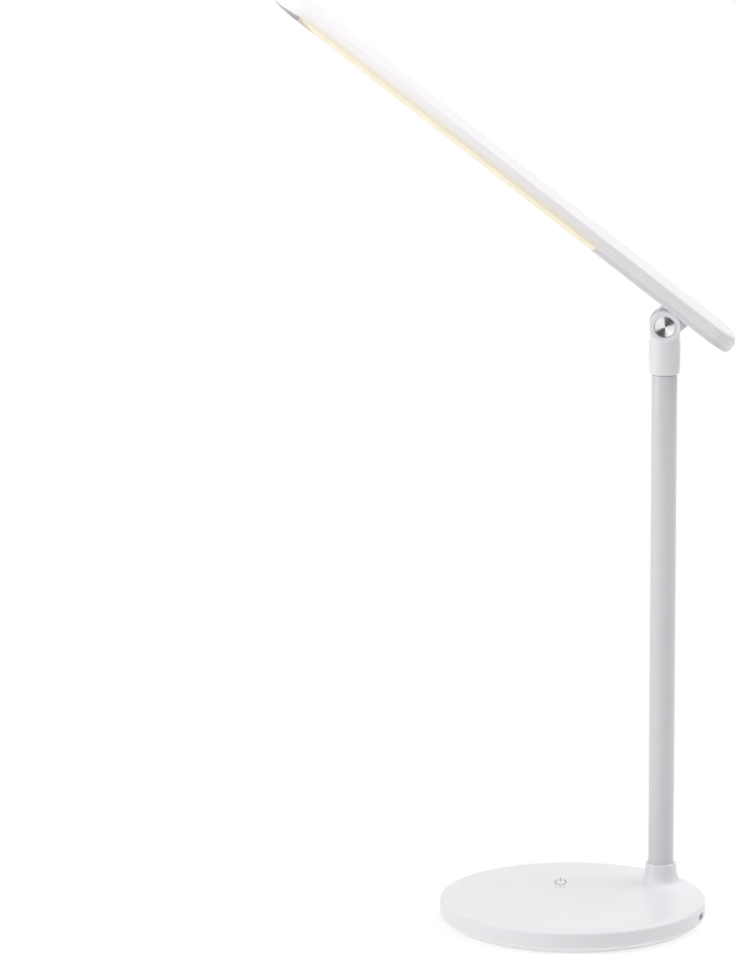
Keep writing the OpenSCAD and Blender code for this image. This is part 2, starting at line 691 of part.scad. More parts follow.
// Upper shell of the head, hollow, with the bosses for the lug screws
module head_shell() {
  color([0.95, 0.95, 0.94])
  at_head() difference() {
    union() {
      difference() {
        union() {
          bar_run(tip_x, rear_x, part_z, head_top, 0, top_round);
          difference() {
            bar_tip(under_z, head_top, low_round, top_round);
            tip_room();
          }
          difference() {
            bar_rear(part_z, head_top, 0, top_round);
            nose_cut();
          }
        }
        translate([tip_x, -shell_in_y, part_z - 1])
          cube([rear_x - tip_x, 2 * shell_in_y, shell_in_z - part_z + 1]);
        translate([tip_x, 0, under_z - 1])
          cylinder(r = shell_in_y - shell_step, h = shell_in_z - under_z + 1);
        intersection() {
          union() {
            translate([rear_x - 1, rear_r - head_half, part_z - 1])
              cube([rear_r, 2 * (head_half - rear_r), shell_in_z - part_z + 1]);
            for (s = [-1, 1]) translate([rear_x, s * (head_half - rear_r), part_z - 1])
              cylinder(r = rear_r - shell_wall - shell_step, h = shell_in_z - part_z + 1);
          }
          translate([0, -head_half, part_z - 2]) cube([head_rear - nose_wall, head_w, head_t]);
        }
      }
      for (x = lug_screw_x, s = [-1, 1]) translate([x, s * lug_screw_y, flange_top])
        cylinder(r = lug_boss_r, h = shell_in_z - flange_top + root);
    }
    for (x = lug_screw_x, s = [-1, 1]) translate([x, s * lug_screw_y, flange_top - 1])
      cylinder(r = lug_screw_r + fit_gap, h = shell_in_z - flange_top + 0.6);
  }
}

// Small opaque cover under the round tip of the head
module tip_cover() {
  color([0.93, 0.93, 0.92])
  at_head() {
    intersection() {
      bar_tip(under_z, part_z, low_round, 0);
      tip_room();
    }
    translate([tip_x, 0, under_z + tip_edge]) rotate([0, 0, 90])
      rotate_extrude(angle = 180) square([tongue_y - shell_step, tip_fall + tongue_h]);
  }
}

// Milky diffuser tray under the front part of the head
module diffuser() {
  color([1, 0.97, 0.86])
  at_head() difference() {
    bar_run(tip_x, -lens_start + 2, under_z, part_z + tongue_h, low_round, 0);
    translate([tip_x - 1, lens_wall - tongue_y, under_z + lens_skin])
      cube([-tip_x, 2 * (tongue_y - lens_wall), head_t]);
    for (s = [-1, 1]) translate([tip_x - 1, s * (tongue_y + 5) - 5, part_z])
      cube([-tip_x, 10, 5]);
    slab_y(head_w + 4) polygon([[lens_joint - edge_gap, under_z - 1],
      [lens_joint - edge_gap + lens_slant, part_z], [lens_joint - edge_gap + lens_slant, head_top],
      [0, head_top], [0, under_z - 1]]);
  }
}

// Metal-cored board bonded under the roof of the shell
module led_board() {
  color([0.9, 0.9, 0.88])
  at_head() translate([led_board_front, -led_board_y, led_z])
    cube([led_board_back - led_board_front, 2 * led_board_y, led_board_t]);
}

// Two rows of lamp chips on the lower face of the board
module led_chips() {
  step = (led_board_back - led_board_front - 2 * led_margin) / (led_count - 1);
  color([1, 0.9, 0.5])
  at_head() for (i = [0:led_count - 1], s = [-1, 1])
    translate([led_board_front + led_margin + i * step - led_size[0] / 2,
      s * led_board_y / 2 - led_size[1] / 2, led_z - led_size[2]]) cube(led_size);
}

// Lead from the lug to the lamp board
module head_lead() {
  color([0.9, 0.9, 0.9])
  at_head() translate([led_board_back + 0.5, 0, flange_top + head_lead_r + 0.1]) rotate([0, 90, 0])
    cylinder(r = head_lead_r, h = -led_board_back - head_lead_stop);
}

base_cover();
base_floor();
anti_slip_pad();
ballast_plate();
base_screws();
battery_pack();
control_board();
touch_contact();
charge_board();
usb_socket();
board_screws();
stem_foot();
foot_screws();
stem_grub_screw();
stem_tube();
stem_lead();
swivel_bush();
knuckle();
swivel_nut();
hinge_bolt();
hinge_nut();
spring_washer();
friction_washers();
hinge_caps();
hinge_lug();
lug_screws();
under_cover();
head_shell();
tip_cover();
diffuser();
led_board();
led_chips();
head_lead();
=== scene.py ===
"""Folding table lamp: the dressed model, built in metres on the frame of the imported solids."""
import json
import logging
import math
from dataclasses import dataclass, field
from enum import Enum

import bmesh
import bpy
import numpy as np
from mathutils import Matrix


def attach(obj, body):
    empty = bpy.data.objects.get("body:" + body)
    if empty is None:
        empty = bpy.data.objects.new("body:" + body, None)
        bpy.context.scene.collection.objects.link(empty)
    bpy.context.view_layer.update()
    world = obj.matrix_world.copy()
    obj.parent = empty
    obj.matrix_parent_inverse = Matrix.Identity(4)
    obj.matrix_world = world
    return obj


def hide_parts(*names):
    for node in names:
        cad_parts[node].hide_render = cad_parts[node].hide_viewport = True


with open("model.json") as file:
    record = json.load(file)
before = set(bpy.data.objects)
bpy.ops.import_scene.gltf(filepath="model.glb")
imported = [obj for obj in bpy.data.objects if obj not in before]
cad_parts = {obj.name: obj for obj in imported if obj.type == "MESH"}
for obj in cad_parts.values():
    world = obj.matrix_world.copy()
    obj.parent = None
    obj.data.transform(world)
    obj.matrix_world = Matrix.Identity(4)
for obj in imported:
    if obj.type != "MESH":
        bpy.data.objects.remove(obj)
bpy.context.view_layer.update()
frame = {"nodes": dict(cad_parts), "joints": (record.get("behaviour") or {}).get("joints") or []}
MM = 0.001
TURN = 2.0 * math.pi
LOG = logging.getLogger("table_lamp")
Array = np.ndarray
# Share of the shorter side that a corner's rounding may take.
CUT_LIMIT = 0.48
# Distances in metres within which points are one, and below which a face is a sliver.
MERGED, MERGED_COPY, SLIVER = 1e-6, 2e-6, 1e-7
# Triangles of a copied solid that fold by less than this are one flat face.
FLAT_DEG = 0.4


# Shapes: every function below works in millimetres on whole arrays.

@dataclass
class Patch:
    """A grid of points, rows by columns by 3, whose neighbours form four-sided faces."""

    points: Array
    keep: Array | None = None
    uv: Array | None = None
    material: int = 0

    def faces(self) -> tuple[Array, Array]:
        """Four-sided faces between neighbouring points, where they are kept.

        Returns:
            The faces' corners, one face a row, and the texture's place at each point.
        """
        rows, cols = self.points.shape[:2]
        index = np.arange(rows * cols).reshape(rows, cols)
        quads = np.stack([index[:-1, :-1], index[:-1, 1:], index[1:, 1:], index[1:, :-1]], axis=-1)
        keep = np.ones((rows - 1, cols - 1), bool) if self.keep is None else self.keep
        uv = np.zeros((rows * cols, 2)) if self.uv is None else self.uv.reshape(-1, 2)
        return quads[keep], uv


@dataclass
class Lid:
    """A flat face with many corners that closes the end of a patch."""

    points: Array
    material: int = 0

    def faces(self) -> tuple[Array, Array]:
        """One face with all the points for its corners, and no place on a texture."""
        return np.arange(len(self.points))[None, :], np.zeros((len(self.points), 2))


Part = Patch | Lid


def smooth_curve(points: Array, steps: int) -> Array:
    """Cubic curve through the points; at each point its slope follows the two neighbours.

    Args:
        points: corner points, one a row.
        steps: points made on each span.

    Returns:
        Points along the curve, the last given point included.
    """
    p = np.vstack([2 * points[0] - points[1], points, 2 * points[-1] - points[-2]])
    t = np.linspace(0.0, 1.0, steps, endpoint=False)[None, :, None]
    a, b, c, d = (p[i:len(p) - 3 + i, None, :] for i in range(4))
    curve = 0.5 * (2 * b + (c - a) * t + (2 * a - 5 * b + 4 * c - d) * t ** 2 + (3 * b - a - 3 * c + d) * t ** 3)
    return np.vstack([curve.reshape(-1, points.shape[1]), points[-1:]])


def eased(corners: list[tuple[float, float, float]], steps: int = 4) -> Array:
    """Closed outline whose corners give way to parabolas.

    Args:
        corners: x, y and the length cut from both sides of the corner.
        steps: faces on each parabola.

    Returns:
        Points round the outline, with the first repeated at the end.
    """
    table = np.array(corners, float)
    points, cut = table[:, :2], table[:, 2]
    back, on = np.roll(points, 1, 0) - points, np.roll(points, -1, 0) - points
    back_len, on_len = np.linalg.norm(back, axis=1), np.linalg.norm(on, axis=1)
    share = np.minimum(cut, CUT_LIMIT * np.minimum(back_len, on_len))
    start = points + back * (share / back_len)[:, None]
    end = points + on * (share / on_len)[:, None]
    t = np.linspace(0.0, 1.0, steps + 1)[None, :, None]
    curve = (1 - t) ** 2 * start[:, None] + 2 * t * (1 - t) * points[:, None] + t ** 2 * end[:, None]
    ring = curve.reshape(-1, 2)
    return np.vstack([ring, ring[:1]])


def turned(profile: Array, angles: Array) -> Array:
    """Profile of radius and height carried round Z: (r cos a, r sin a, z).

    Args:
        profile: radius and height, one point a row.
        angles: angles of the columns in radians.

    Returns:
        Grid of points, profile by angle by 3.
    """
    r, z = profile[:, :1], profile[:, 1:]
    return np.stack([r * np.cos(angles), r * np.sin(angles), z + 0 * angles], axis=-1)


def drawn_out(section: Array, stations: Array) -> Array:
    """Section of two coordinates carried along X: (x, y, z).

    Args:
        section: y and z, one point a row.
        stations: x of every station, by section point where it differs over the section.

    Returns:
        Grid of points, station by section point by 3.
    """
    x = np.broadcast_to(stations.reshape(len(stations), -1), (len(stations), len(section)))
    return np.stack([x, np.broadcast_to(section[:, 0], x.shape), np.broadcast_to(section[:, 1], x.shape)], axis=-1)


def full_turn(columns: int, start: float = 0.0) -> Array:
    """Angles of a whole turn, with the first column repeated at the end."""
    return start + np.linspace(0.0, TURN, columns + 1)


def slot_ray(direction: Array, half_length: float, radius: float) -> Array:
    """Point where a ray from the middle meets the outline of a slot with round ends.

    On a flat side the ray stops at the height of the side, and on a round end at the circle.

    Args:
        direction: directions, one a row.
        half_length: distance from the middle to the centre of a round end.
        radius: radius of the round ends.

    Returns:
        Points on the outline, one a row.
    """
    c = direction / np.linalg.norm(direction, axis=1, keepdims=True)
    cx, cz = np.abs(c[:, 0]), np.maximum(np.abs(c[:, 1]), 1e-9)
    flat = radius / cz
    round_end = half_length * cx + np.sqrt(np.maximum(radius ** 2 - (half_length * cz) ** 2, 0.0))
    return c * np.where(flat * cx <= half_length, flat, round_end)[:, None]


def piece(name: str, parts: list[Part], sharp_deg: float = 38.0) -> bpy.types.Object:
    """Makes one mesh object from grids and lids, merged where they meet.

    Args:
        name: name of the object and its mesh.
        parts: grids and lids in millimetres, in the part's frame.
        sharp_deg: edges that fold by more than this stay sharp.

    Returns:
        The object, at the origin and linked to the scene.
    """
    points, faces, kinds, uvs, first = [], [], [], [], 0
    for part in parts:
        corners, uv = part.faces()
        uvs.append(uv[corners.ravel()])
        faces.append(corners + first)
        kinds.append(np.full(len(corners), part.material))
        points.append(part.points.reshape(-1, 3))
        first += len(points[-1])
    sides = np.concatenate([np.full(len(f), f.shape[1]) for f in faces])
    loops = np.concatenate([f.ravel() for f in faces])
    mesh = bpy.data.meshes.new(name)
    mesh.vertices.add(first)
    mesh.vertices.foreach_set("co", (np.concatenate(points) * MM).astype(np.float32).ravel())
    mesh.loops.add(len(loops))
    mesh.loops.foreach_set("vertex_index", loops.astype(np.int32))
    mesh.polygons.add(len(sides))
    mesh.polygons.foreach_set("loop_start", np.concatenate([[0], np.cumsum(sides)[:-1]]).astype(np.int32))
    mesh.polygons.foreach_set("material_index", np.concatenate(kinds).astype(np.int32))
    mesh.update(calc_edges=True)
    layer = mesh.uv_layers.new(name="surface")
    layer.data.foreach_set("uv", np.concatenate(uvs).astype(np.float32).ravel())
    return settled(name, mesh, sharp_deg)


def settled(name: str, mesh: bpy.types.Mesh, sharp_deg: float) -> bpy.types.Object:
    """Merges doubled points, turns the faces outwards, shades smoothly and links the object.

    Args:
        name: name of the object.
        mesh: the mesh, in metres.
        sharp_deg: edges that fold by more than this stay sharp.

    Returns:
        The object, at the origin and linked to the scene.
    """
    work = bmesh.new()
    work.from_mesh(mesh)
    bmesh.ops.remove_doubles(work, verts=work.verts, dist=MERGED)
    bmesh.ops.dissolve_degenerate(work, edges=work.edges, dist=SLIVER)
    bmesh.ops.recalc_face_normals(work, faces=work.faces)
    work.to_mesh(mesh)
    work.free()
    mesh.polygons.foreach_set("use_smooth", np.ones(len(mesh.polygons), bool))
    mesh.set_sharp_from_angle(angle=math.radians(sharp_deg))
    made = bpy.data.objects.new(name, mesh)
    bpy.context.scene.collection.objects.link(made)
    return made


def eased_copy(name: str, node: str, width_mm: float, sharp_deg: float = 32.0) -> bpy.types.Object:
    """Copies a solid's mesh, merges its loose triangles and rounds its edges.

    Args:
        name: name of the new object.
        node: the solid to copy.
        width_mm: width of the rounding.
        sharp_deg: edges that fold by more than this are rounded.

    Returns:
        The new object, with a bevel on its edges.
    """
    source = frame["nodes"][node].data
    co = np.empty(len(source.vertices) * 3, np.float32)
    source.vertices.foreach_get("co", co)
    corner = np.empty(len(source.loops), np.int32)
    source.loops.foreach_get("vertex_index", corner)
    mesh = bpy.data.meshes.new(name)
    mesh.from_pydata(co.reshape(-1, 3), [], corner.reshape(-1, 3))
    work = bmesh.new()
    work.from_mesh(mesh)
    bmesh.ops.remove_doubles(work, verts=work.verts, dist=MERGED_COPY)
    bmesh.ops.dissolve_limit(work, angle_limit=math.radians(FLAT_DEG), verts=work.verts, edges=work.edges)
    work.to_mesh(mesh)
    work.free()
    made = settled(name, mesh, sharp_deg)
    bevel = made.modifiers.new("edge_round", "BEVEL")
    bevel.width, bevel.segments = width_mm * MM, 2
    bevel.limit_method, bevel.angle_limit = "ANGLE", math.radians(sharp_deg)
    bevel.use_clamp_overlap = True
    return made


# Finishes: what each surface is, how it was made, and what that gives the eye.

def linear(code: str) -> tuple[float, float, float, float]:
    """Turns an sRGB hex value into linear light: a straight foot, then a power of 2.4.

    Args:
        code: the value, such as #F1EFF2.

    Returns:
        Linear red, green and blue, and full opacity.
    """
    srgb = np.array([int(code[i:i + 2], 16) for i in (1, 3, 5)]) / 255.0
    value = np.where(srgb <= 0.04045, srgb / 12.92, ((srgb + 0.055) / 1.055) ** 2.4)
    return (*(float(v) for v in value), 1.0)


def per_mm(size_mm: float) -> float:
    """Scale of a pattern whose marks are size_mm apart, for coordinates in metres."""
    return 1.0 / (size_mm * MM)


def add_node(tree: bpy.types.NodeTree, kind: str, settings: dict | None = None,
             inputs: dict | None = None) -> bpy.types.Node:
    """Adds a shader node with its settings, its values and its links.

    Args:
        tree: node tree of the material.
        kind: type name of the node.
        settings: properties of the node.
        inputs: value, or output socket to link, for each input name or number.

    Returns:
        The new node.
    """
    made = tree.nodes.new(kind)
    for key, value in (settings or {}).items():
        setattr(made, key, value)
    for key, value in (inputs or {}).items():
        if isinstance(value, bpy.types.NodeSocket):
            tree.links.new(value, made.inputs[key])
        else:
            made.inputs[key].default_value = value
    return made


def bare_tree(owner: bpy.types.Material | bpy.types.World) -> bpy.types.NodeTree:
    """Turns a new material's or world's nodes on and clears them.

    Args:
        owner: the material or world.

    Returns:
        Its empty node tree.
    """
    owner.use_nodes = True
    owner.node_tree.nodes.clear()
    return owner.node_tree


class Grain(Enum):
    """How the fine relief of a surface runs."""

    MOULDED = "even grain left by a spark-eroded mould"
    DRAWN = "fine lines along the stem, left by the die"
    TURNED = "rings left by a lathe tool"
    PORES = "open pores of a foam"
    CRINKLE = "shallow creases of a wrapped foil"
    TRACKS = "raised copper tracks under a lacquer"


# Drawn lines are squeezed along Z, so that each runs about eighty times as far as it is wide.
DRAWN_SCALE = (1.0, 1.0, 0.012)
# Nearly all values of a noise lie in the first range, and those of one without detail in the second.
NOISE, SMOOTH_NOISE = (0.3, 0.7), (0.35, 0.65)


@dataclass(frozen=True)
class Finish:
    """One procedural surface finish.

    Slow clouds of mottle_mm mix the colour and the shade, and smaller ones the two roughness values. The relief has the
    spacing grain_mm and the height depth_mm.
    """

    name: str
    colour: str
    shade: str
    roughness: tuple[float, float]
    grain: Grain = Grain.MOULDED
    grain_mm: float = 1.2
    depth_mm: float = 0.008
    mottle_mm: float = 24.0
    metallic: float = 0.0
    ior: float = 1.5
    coat: float = 0.0
    anisotropic: float = 0.0
    coat_roughness: float = 0.12

    def relief(self, tree: bpy.types.NodeTree, place: bpy.types.NodeSocket) -> bpy.types.NodeSocket:
        """Height of the fine relief, from the grain and its real spacing.

        Args:
            tree: node tree of the material.
            place: object coordinates.

        Returns:
            Socket with the height, from 0 to 1.
        """
        scale = per_mm(self.grain_mm)
        if self.grain is Grain.DRAWN:
            lines = add_node(tree, "ShaderNodeMapping", inputs={"Vector": place, "Scale": DRAWN_SCALE})
            return add_node(tree, "ShaderNodeTexNoise", inputs={
                "Vector": lines.outputs[0], "Scale": scale, "Detail": 4.0}).outputs[0]
        if self.grain is Grain.TURNED:
            rings = add_node(tree, "ShaderNodeUVMap", {"uv_map": "surface"})
            axis = add_node(tree, "ShaderNodeSeparateXYZ", inputs={0: rings.outputs[0]})
            phase = add_node(tree, "ShaderNodeMath", {"operation": "MULTIPLY"}, {
                0: axis.outputs[0], 1: TURN / self.grain_mm})
            wave = add_node(tree, "ShaderNodeMath", {"operation": "SINE"}, {0: phase.outputs[0]})
            return add_node(tree, "ShaderNodeMapRange", inputs={0: wave.outputs[0], 1: -1.0, 2: 1.0}).outputs[0]
        if self.grain in (Grain.PORES, Grain.CRINKLE):
            feature = "F1" if self.grain is Grain.PORES else "DISTANCE_TO_EDGE"
            return add_node(tree, "ShaderNodeTexVoronoi", {"feature": feature}, {
                "Vector": place, "Scale": scale}).outputs["Distance"]
        if self.grain is Grain.TRACKS:
            return add_node(tree, "ShaderNodeTexBrick", inputs={
                "Vector": place, "Scale": scale, "Mortar Size": 0.03}).outputs["Fac"]
        return add_node(tree, "ShaderNodeTexNoise", inputs={
            "Vector": place, "Scale": scale, "Detail": 2.0}).outputs[0]

    def build(self) -> bpy.types.Material:
        """Makes the material: mottled colour, uneven roughness and fine relief on one shader.

        Returns:
            The material.
        """
        material = bpy.data.materials.new(self.name)
        tree = bare_tree(material)
        place = add_node(tree, "ShaderNodeTexCoord").outputs["Object"]
        cloud = add_node(tree, "ShaderNodeTexNoise", inputs={
            "Vector": place, "Scale": per_mm(self.mottle_mm), "Detail": 3.0})
        tint = add_node(tree, "ShaderNodeMix", {"data_type": "RGBA"}, {
            0: cloud.outputs[0], 6: linear(self.colour), 7: linear(self.shade)})
        uneven = add_node(tree, "ShaderNodeTexNoise", inputs={
            "Vector": place, "Scale": per_mm(self.mottle_mm / 3.0), "Detail": 4.0})
        rough = add_node(tree, "ShaderNodeMapRange", inputs={
            0: uneven.outputs[0], 1: NOISE[0], 2: NOISE[1], 3: self.roughness[0], 4: self.roughness[1]})
        bump = add_node(tree, "ShaderNodeBump", inputs={
            "Height": self.relief(tree, place), "Strength": 1.0, "Distance": self.depth_mm * MM})
        shader = add_node(tree, "ShaderNodeBsdfPrincipled", inputs={
            "Base Color": tint.outputs[2], "Roughness": rough.outputs[0], "Normal": bump.outputs[0],
            "Metallic": self.metallic, "IOR": self.ior, "Coat Weight": self.coat,
            "Coat Roughness": self.coat_roughness, "Anisotropic": self.anisotropic})
        if self.anisotropic:
            along = add_node(tree, "ShaderNodeTangent", {"direction_type": "UV_MAP", "uv_map": "surface"})
            tree.links.new(along.outputs[0], shader.inputs["Tangent"])
        self.glow(tree, place, shader)
        add_node(tree, "ShaderNodeOutputMaterial", inputs={"Surface": shader.outputs[0]})
        return material

    def glow(self, tree: bpy.types.NodeTree, place: bpy.types.NodeSocket, shader: bpy.types.Node) -> None:
        """A plain finish gives no light of its own."""


@dataclass(frozen=True)
class PaintedGlowFinish(Finish):
    """A thin white wall with painted light standing in for lamp light from the tray: a painted glow, more of it to the
    tip, and a painted warm tint at the lower edge.

    The ranges in millimetres are places along the level bar (tip, end, run) and heights on its wall (edge, crown).
    """

    light: str = "#FFFBF2"
    strength: float = 0.15
    foot_share: float = 0.3
    painted_warm_tint: str = "#FBF5DA"
    edge_glow: float = 0.05
    edge_mm: tuple[float, float] = (11.9, 16.2)
    tip_mm: tuple[float, float] = (-264.0, -250.0)
    end_mm: tuple[float, float] = (-62.0, -52.0)
    run_mm: tuple[float, float] = (-200.0, -45.0)
    crown_mm: tuple[float, float] = (17.2, 18.8)

    def glow(self, tree: bpy.types.NodeTree, place: bpy.types.NodeSocket, shader: bpy.types.Node) -> None:
        """Painted glow from the distance along the bar and the height on the wall.

        The painted glow rises evenly to the tip and fades on the crown. A painted warm edge fades upwards, and ends at
        the tip and behind the lit part.

        Args:
            tree: node tree of the material.
            place: object coordinates; not used.
            shader: the shader that glows.
        """
        where = add_node(tree, "ShaderNodeUVMap", {"uv_map": "surface"})
        axis = add_node(tree, "ShaderNodeSeparateXYZ", inputs={0: where.outputs[0]})
        along, up = axis.outputs[0], axis.outputs[1]
        soft = {"interpolation_type": "SMOOTHSTEP"}
        rise = add_node(tree, "ShaderNodeMapRange", soft, {
            0: up, 1: self.edge_mm[0], 2: self.edge_mm[1], 3: 1.0, 4: 0.0})
        tip = add_node(tree, "ShaderNodeMapRange", soft, {
            0: along, 1: self.tip_mm[0], 2: self.tip_mm[1], 3: 0.0, 4: 1.0})
        lit = add_node(tree, "ShaderNodeMapRange", soft, {
            0: along, 1: self.end_mm[0], 2: self.end_mm[1], 3: tip.outputs[0], 4: 0.0})
        painted_warm_mask = add_node(tree, "ShaderNodeMath", {"operation": "MULTIPLY"}, {0: rise.outputs[0], 1: lit.outputs[0]})
        foot = add_node(tree, "ShaderNodeMapRange", soft, {
            0: up, 1: self.edge_mm[0], 2: self.edge_mm[1], 3: self.foot_share * self.strength, 4: self.strength})
        run = add_node(tree, "ShaderNodeMapRange", inputs={
            0: along, 1: self.run_mm[0], 2: self.run_mm[1], 3: foot.outputs[0], 4: 0.0})
        crown = add_node(tree, "ShaderNodeMapRange", soft, {
            0: up, 1: self.crown_mm[0], 2: self.crown_mm[1], 3: 1.0, 4: 0.0})
        edge = add_node(tree, "ShaderNodeMath", {"operation": "MULTIPLY"}, {0: painted_warm_mask.outputs[0], 1: self.edge_glow})
        level = add_node(tree, "ShaderNodeMath", {"operation": "MULTIPLY_ADD"}, {
            0: run.outputs[0], 1: crown.outputs[0], 2: edge.outputs[0]})
        plain = shader.inputs["Base Color"].links[0].from_socket
        # Painted warm light: the base colour turns warm at the lower edge of the lit part.
        tint = add_node(tree, "ShaderNodeMix", {"data_type": "RGBA", "blend_type": "MULTIPLY"}, {
            0: painted_warm_mask.outputs[0], 6: plain, 7: linear(self.painted_warm_tint)})
        tree.links.new(tint.outputs[2], shader.inputs["Base Color"])
        # Painted glow: the shell wall gives light of its own, standing in for lamp light from the tray.
        shader.inputs["Emission Color"].default_value = linear(self.light)
        tree.links.new(level.outputs[0], shader.inputs["Emission Strength"])


@dataclass(frozen=True)
class LitFinish(Finish):
    """A finish that glows, a little brighter over the lamp chips behind it."""

    light: str = "#FFF2CC"
    strength: tuple[float, float] = (0.9, 1.0)
    pitch_mm: float = 8.0

    def glow(self, tree: bpy.types.NodeTree, place: bpy.types.NodeSocket, shader: bpy.types.Node) -> None:
        """Glow that swells softly with the spacing of the chips.

        Args:
            tree: node tree of the material.
            place: object coordinates.
            shader: the shader that glows.
        """
        cloud = add_node(tree, "ShaderNodeTexNoise", inputs={
            "Vector": place, "Scale": per_mm(self.pitch_mm), "Detail": 0.0})
        level = add_node(tree, "ShaderNodeMapRange", inputs={
            0: cloud.outputs[0], 1: SMOOTH_NOISE[0], 2: SMOOTH_NOISE[1], 3: self.strength[0], 4: self.strength[1]})
        shader.inputs["Emission Color"].default_value = linear(self.light)
        tree.links.new(level.outputs[0], shader.inputs["Emission Strength"])


@dataclass(frozen=True)
class TrayFinish(LitFinish):
    """A lit tray whose front end stays dim, because the lamp chips stop short of it."""

    front_mm: float = -259.6
    top_mm: float = 11.9
    slope: float = 4.4
    soft_mm: float = 4.0
    dim_share: float = 0.45

    def glow(self, tree: bpy.types.NodeTree, place: bpy.types.NodeSocket, shader: bpy.types.Node) -> None:
        """Glow of the chips, dimmed where the place along the bar lies before a line that slants with the height.

        Args:
            tree: node tree of the material.
            place: object coordinates.
            shader: the shader that glows.
        """
        super().glow(tree, place, shader)
        where = add_node(tree, "ShaderNodeUVMap", {"uv_map": "surface"})
        axis = add_node(tree, "ShaderNodeSeparateXYZ", inputs={0: where.outputs[0]})
        behind = add_node(tree, "ShaderNodeMath", {"operation": "MULTIPLY_ADD"}, {
            0: axis.outputs[1], 1: self.slope, 2: axis.outputs[0]})
        line = self.front_mm + self.slope * self.top_mm
        share = add_node(tree, "ShaderNodeMapRange", {"interpolation_type": "SMOOTHSTEP"}, {
            0: behind.outputs[0], 1: line - self.soft_mm, 2: line + self.soft_mm, 3: self.dim_share, 4: 1.0})
        whole = shader.inputs["Emission Strength"].links[0].from_socket
        level = add_node(tree, "ShaderNodeMath", {"operation": "MULTIPLY"}, {0: whole, 1: share.outputs[0]})
        tree.links.new(level.outputs[0], shader.inputs["Emission Strength"])


# Injection-moulded ABS, satin: a soft sheen over a fine even grain, drawn coarser than life so that it shows.
COVER_ABS = Finish("abs_moulded_white_satin", "#F1EFF2", "#ECEAEE", (0.30, 0.40), depth_mm=0.005, coat=0.15)
# The same ABS from the mould of the bar's under cover, a little greyer.
BAR_ABS = Finish("abs_moulded_white_bar", "#E6E3E7", "#E1DEE2", (0.40, 0.50), depth_mm=0.003)
# The shell of the light bar: that ABS in a thin wall, with a painted glow and a painted warm tint at its lower edge
# that stand in for lamp light showing through.
SHELL_ABS = PaintedGlowFinish("abs_moulded_white_shell_painted_glow", "#F2EFF2", "#EDEAEE", (0.42, 0.52), depth_mm=0.003)
# The same ABS on the small cover under the tip, left matt by its mould; its grey is painted shade of the tip's
# underside.
TIP_ABS = Finish("abs_moulded_tip_painted_shade", "#B2B1B4", "#A9A8AB", (0.45, 0.55))
# Polypropylene floor, matt and a little paler than the cover.
FLOOR_PP = Finish("pp_moulded_pale_matt", "#F7F5F7", "#F3F1F4", (0.42, 0.55), depth_mm=0.012)
# Powder-painted aluminium tube: faint lines along the stem under a satin coat.
STEM_PAINT = Finish("aluminium_drawn_painted_grey", "#E0DEE1", "#D9D8DC", (0.28, 0.38), Grain.DRAWN, 0.7,
                    0.004, 60.0, coat=0.2)
# Aluminium die-casting under off-white paint, with a slight orange peel.
LUG_PAINT = Finish("aluminium_cast_painted_pale", "#E9E8EA", "#E2E1E4", (0.35, 0.48), grain_mm=1.6, depth_mm=0.015)
# Stainless cap faced on a lathe: rings that drag each highlight into a fan.
CAP_STEEL = Finish("stainless_turned_bright", "#F3F3F5", "#EAEAED", (0.24, 0.28), Grain.TURNED, 0.45, 0.003,
                   6.0, 1.0, anisotropic=1.0)
# Zinc-plated steel of screws and plates, softly clouded.
PLATED = Finish("steel_zinc_plated", "#C6C7CA", "#AFB0B5", (0.28, 0.42), grain_mm=0.8, depth_mm=0.006,
                mottle_mm=5.0, metallic=1.0)
# Nickel-plated shell of the charging socket, darkened to a mid grey as painted shade inside the slot.
NICKEL = Finish("steel_nickel_plated_painted_shade", "#A3A09B", "#95928D", (0.18, 0.28), grain_mm=0.6, depth_mm=0.003,
                mottle_mm=3.0, metallic=1.0)
# Turned steel of the foot, nuts and bolt.
TURNED_STEEL = Finish("steel_turned_plain", "#A9AAAE", "#95969B", (0.25, 0.40), grain_mm=0.9, depth_mm=0.006,
                      mottle_mm=7.0, metallic=1.0)
# Oil-blackened steel of the set screw.
BLACK_STEEL = Finish("steel_blackened", "#3A3A3D", "#2D2D30", (0.40, 0.55), mottle_mm=2.0, metallic=1.0)
# Unfilled nylon of the bush: greyish and waxy.
NYLON = Finish("nylon_turned_natural", "#C9CACA", "#BFC0C0", (0.45, 0.58), mottle_mm=4.0, ior=1.53)
# Closed-cell EVA foam pad: dark, dry and full of small pores.
FOAM = Finish("eva_foam_grey", "#55565A", "#47484C", (0.85, 0.97), Grain.PORES, 1.1, 0.12, 9.0)
# Conductive foam under the touch mark.
TOUCH_FOAM = Finish("pu_foam_conductive", "#3F4044", "#34353A", (0.80, 0.92), Grain.PORES, 0.8, 0.08, 4.0)
# Glass-fibre board under green lacquer, with its tracks standing a little proud.
BOARD = Finish("glass_fibre_green_lacquer", "#1F6B45", "#185638", (0.25, 0.40), Grain.TRACKS, 2.4, 0.03, 6.0)
# Metal-cored board under white lacquer.
WHITE_BOARD = Finish("aluminium_board_white_lacquer", "#F0F0EC", "#E6E6E1", (0.30, 0.45), Grain.TRACKS, 3.0, 0.03)
# Flat cell in laminated foil, slightly creased.
FOIL = Finish("foil_laminate_grey", "#BFC2C9", "#AEB1B9", (0.30, 0.45), Grain.CRINKLE, 9.0, 0.20, 12.0, 0.8)
# Filled acetal friction washers.
ACETAL = Finish("acetal_filled_brown", "#5A554D", "#4D4841", (0.45, 0.60), mottle_mm=2.0)
# Soft PVC sheath of the leads.
PVC = Finish("pvc_sheath_white", "#E9E9E8", "#DEDEDD", (0.40, 0.55), mottle_mm=8.0, grain_mm=0.8)
# Screen-printed grey ink of the touch mark.
INK = Finish("ink_printed_grey", "#B9B8BB", "#AEADB1", (0.50, 0.65), grain_mm=0.5, mottle_mm=2.0)
# Black liquid-crystal polymer of the contact tongue.
TONGUE = Finish("polymer_moulded_black", "#1E1E20", "#161618", (0.40, 0.55), grain_mm=0.5, mottle_mm=2.0)
